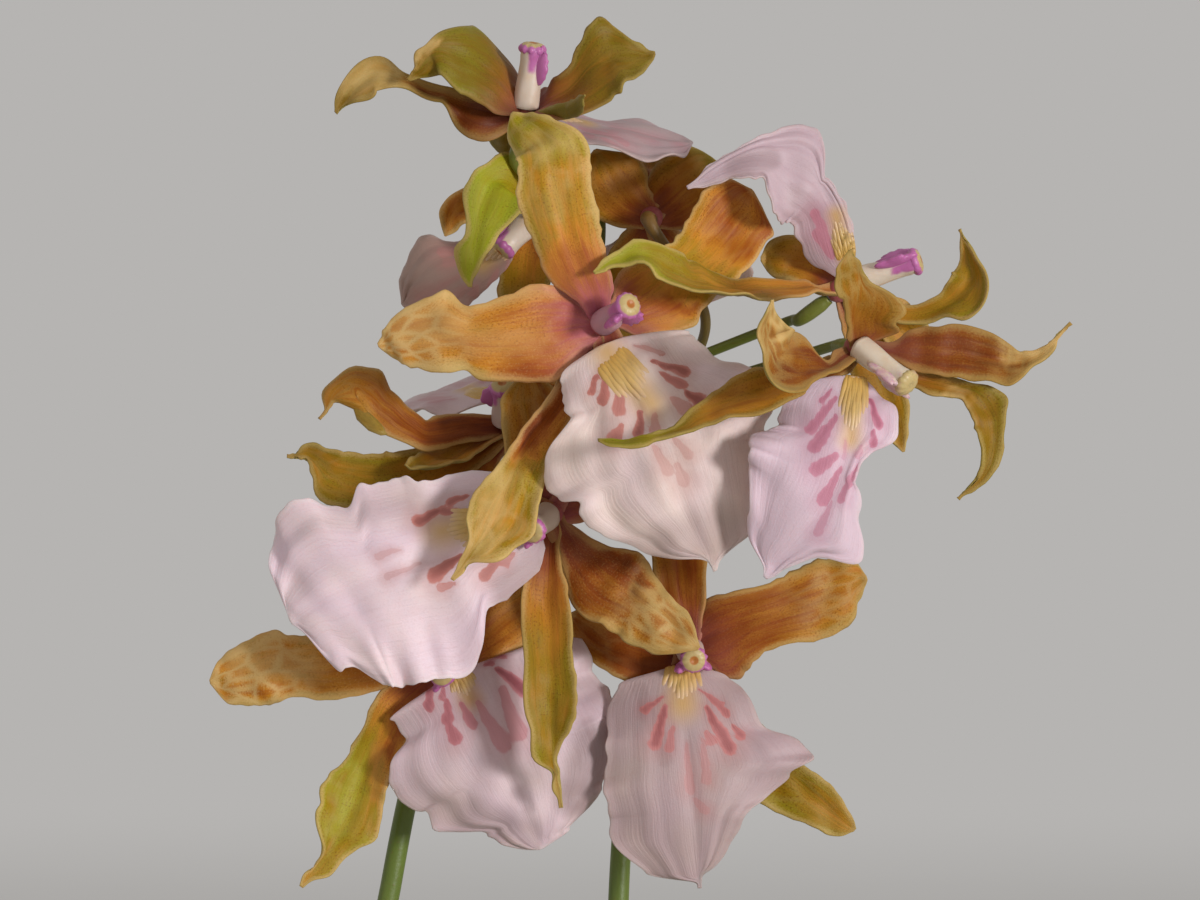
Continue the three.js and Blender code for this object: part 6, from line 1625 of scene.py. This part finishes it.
class ORCHID_OT_medium(bpy.types.Operator):
    """Make the bark in the pot."""

    bl_idname = "orchid.medium"
    bl_label = "Bark"

    def execute(self, context):
        look = context.scene.orchid_pot
        piece("bark_bed", medium_shapes(look.seed), bark_finish(look), "bark", "medium")
        return {"FINISHED"}


class ORCHID_OT_pot(bpy.types.Operator):
    """Make the clay pot with its drain holes."""

    bl_idname = "orchid.pot"
    bl_label = "Pot"

    def execute(self, context):
        look = context.scene.orchid_pot
        made = piece("clay_pot", [pot_shape(look.wobble)], clay_finish(look), "terracotta", "pot")
        corners = [math.radians(45 + 90 * k) for k in range(4)]
        drill(made, look.drain / MM, [(25 * math.cos(a), 25 * math.sin(a)) for a in corners])
        if len(made.data.polygons) < 1000:
            raise RuntimeError("the drain holes could not be cut")
        made.data.shade_smooth()
        return {"FINISHED"}


class ORCHID_OT_stage(bpy.types.Operator):
    """Lay the pale floor and set the soft lights and the camera."""

    bl_idname = "orchid.stage"
    bl_label = "Floor, light and camera"

    def execute(self, context):
        look = context.scene.orchid_stage
        scene = context.scene
        scene.view_settings.view_transform = "Standard"
        rows = [[0, 0], [1, 0], [2.5, 0], [4, 0], [6, 0], [9, 0], [14, 0], [14, -0.01], [0, -0.01]]
        points, quads, caps, _ = turned(rows, 96)
        mesh = bpy.data.meshes.new("floor")
        mesh.from_pydata(points.tolist(), [], quads.tolist() + caps.tolist())
        mesh.materials.append(floor_finish(look))
        floor = bpy.data.objects.new("floor", mesh)
        scene.collection.objects.link(floor)
        world = bpy.data.worlds.new("soft_room")
        world.use_nodes = True
        world.node_tree.nodes["Background"].inputs["Color"].default_value = look.backdrop
        world.node_tree.nodes["Background"].inputs["Strength"].default_value = 1.0
        scene.world = world
        target = Vector((0.0, 0.0, look.eye - 0.02))
        lamps = (("key_light", (1.15, -1.3, 0.66), 0.3, look.key),
            ("fill_light", (-1.5, -1.6, 0.9), 1.4, look.fill))
        for name, place, size, power in lamps:
            lamp = bpy.data.lights.new(name, "AREA")
            lamp.size = size
            lamp.energy = power
            holder = bpy.data.objects.new(name, lamp)
            holder.location = place
            holder.rotation_euler = (target - Vector(place)).to_track_quat("-Z", "Y").to_euler()
            scene.collection.objects.link(holder)
        camera = bpy.data.cameras.new("camera")
        camera.lens = look.lens
        camera.sensor_width = 36
        camera.clip_end = 100
        view = bpy.data.objects.new("camera", camera)
        view.location = (0.0, -look.away, look.eye)
        view.rotation_euler = (math.radians(90), 0, 0)
        scene.collection.objects.link(view)
        scene.camera = view
        return {"FINISHED"}


class ORCHID_PT_sidebar(bpy.types.Panel):
    """Lists the orchid's pieces and the settings that a user would change."""

    bl_label = "Potted orchid"
    bl_idname = "ORCHID_PT_sidebar"
    bl_space_type = "VIEW_3D"
    bl_region_type = "UI"
    bl_category = "Orchid"

    def draw(self, context):
        layout = self.layout
        for operator in OPERATORS:
            layout.operator(operator.bl_idname)
        for title, group in (("Blooms", "orchid_bloom"), ("Plant", "orchid_plant"), ("Pot and bark", "orchid_pot"),
                ("Stage", "orchid_stage")):
            box = layout.box()
            box.label(text=title)
            settings = getattr(context.scene, group)
            for key in settings.bl_rna.properties.keys():
                if key not in ("rna_type", "name"):
                    box.prop(settings, key)


GROUPS = {"orchid_bloom": ORCHID_PG_bloom, "orchid_plant": ORCHID_PG_plant, "orchid_pot": ORCHID_PG_pot,
    "orchid_stage": ORCHID_PG_stage}
OPERATORS = (ORCHID_OT_stage, ORCHID_OT_pot, ORCHID_OT_medium, ORCHID_OT_bulbs, ORCHID_OT_leaves, ORCHID_OT_stalks,
    ORCHID_OT_tepals, ORCHID_OT_lips, ORCHID_OT_columns)


def register():
    """Adds the settings, operators and panel."""
    for group in GROUPS.values():
        bpy.utils.register_class(group)
    for operator in OPERATORS:
        bpy.utils.register_class(operator)
    bpy.utils.register_class(ORCHID_PT_sidebar)
    for name, group in GROUPS.items():
        setattr(bpy.types.Scene, name, PointerProperty(type=group))


def unregister():
    """Takes the settings, operators and panel away again."""
    for name in GROUPS:
        delattr(bpy.types.Scene, name)
    for kept in (ORCHID_PT_sidebar, *reversed(OPERATORS), *reversed(list(GROUPS.values()))):
        bpy.utils.unregister_class(kept)


def main():
    """Makes the whole plant."""
    register()
    for make in (bpy.ops.orchid.stage, bpy.ops.orchid.pot, bpy.ops.orchid.medium, bpy.ops.orchid.bulbs,
            bpy.ops.orchid.leaves, bpy.ops.orchid.stalks, bpy.ops.orchid.tepals, bpy.ops.orchid.lips,
            bpy.ops.orchid.columns):
        make()


if __name__ == "__main__":
    main()
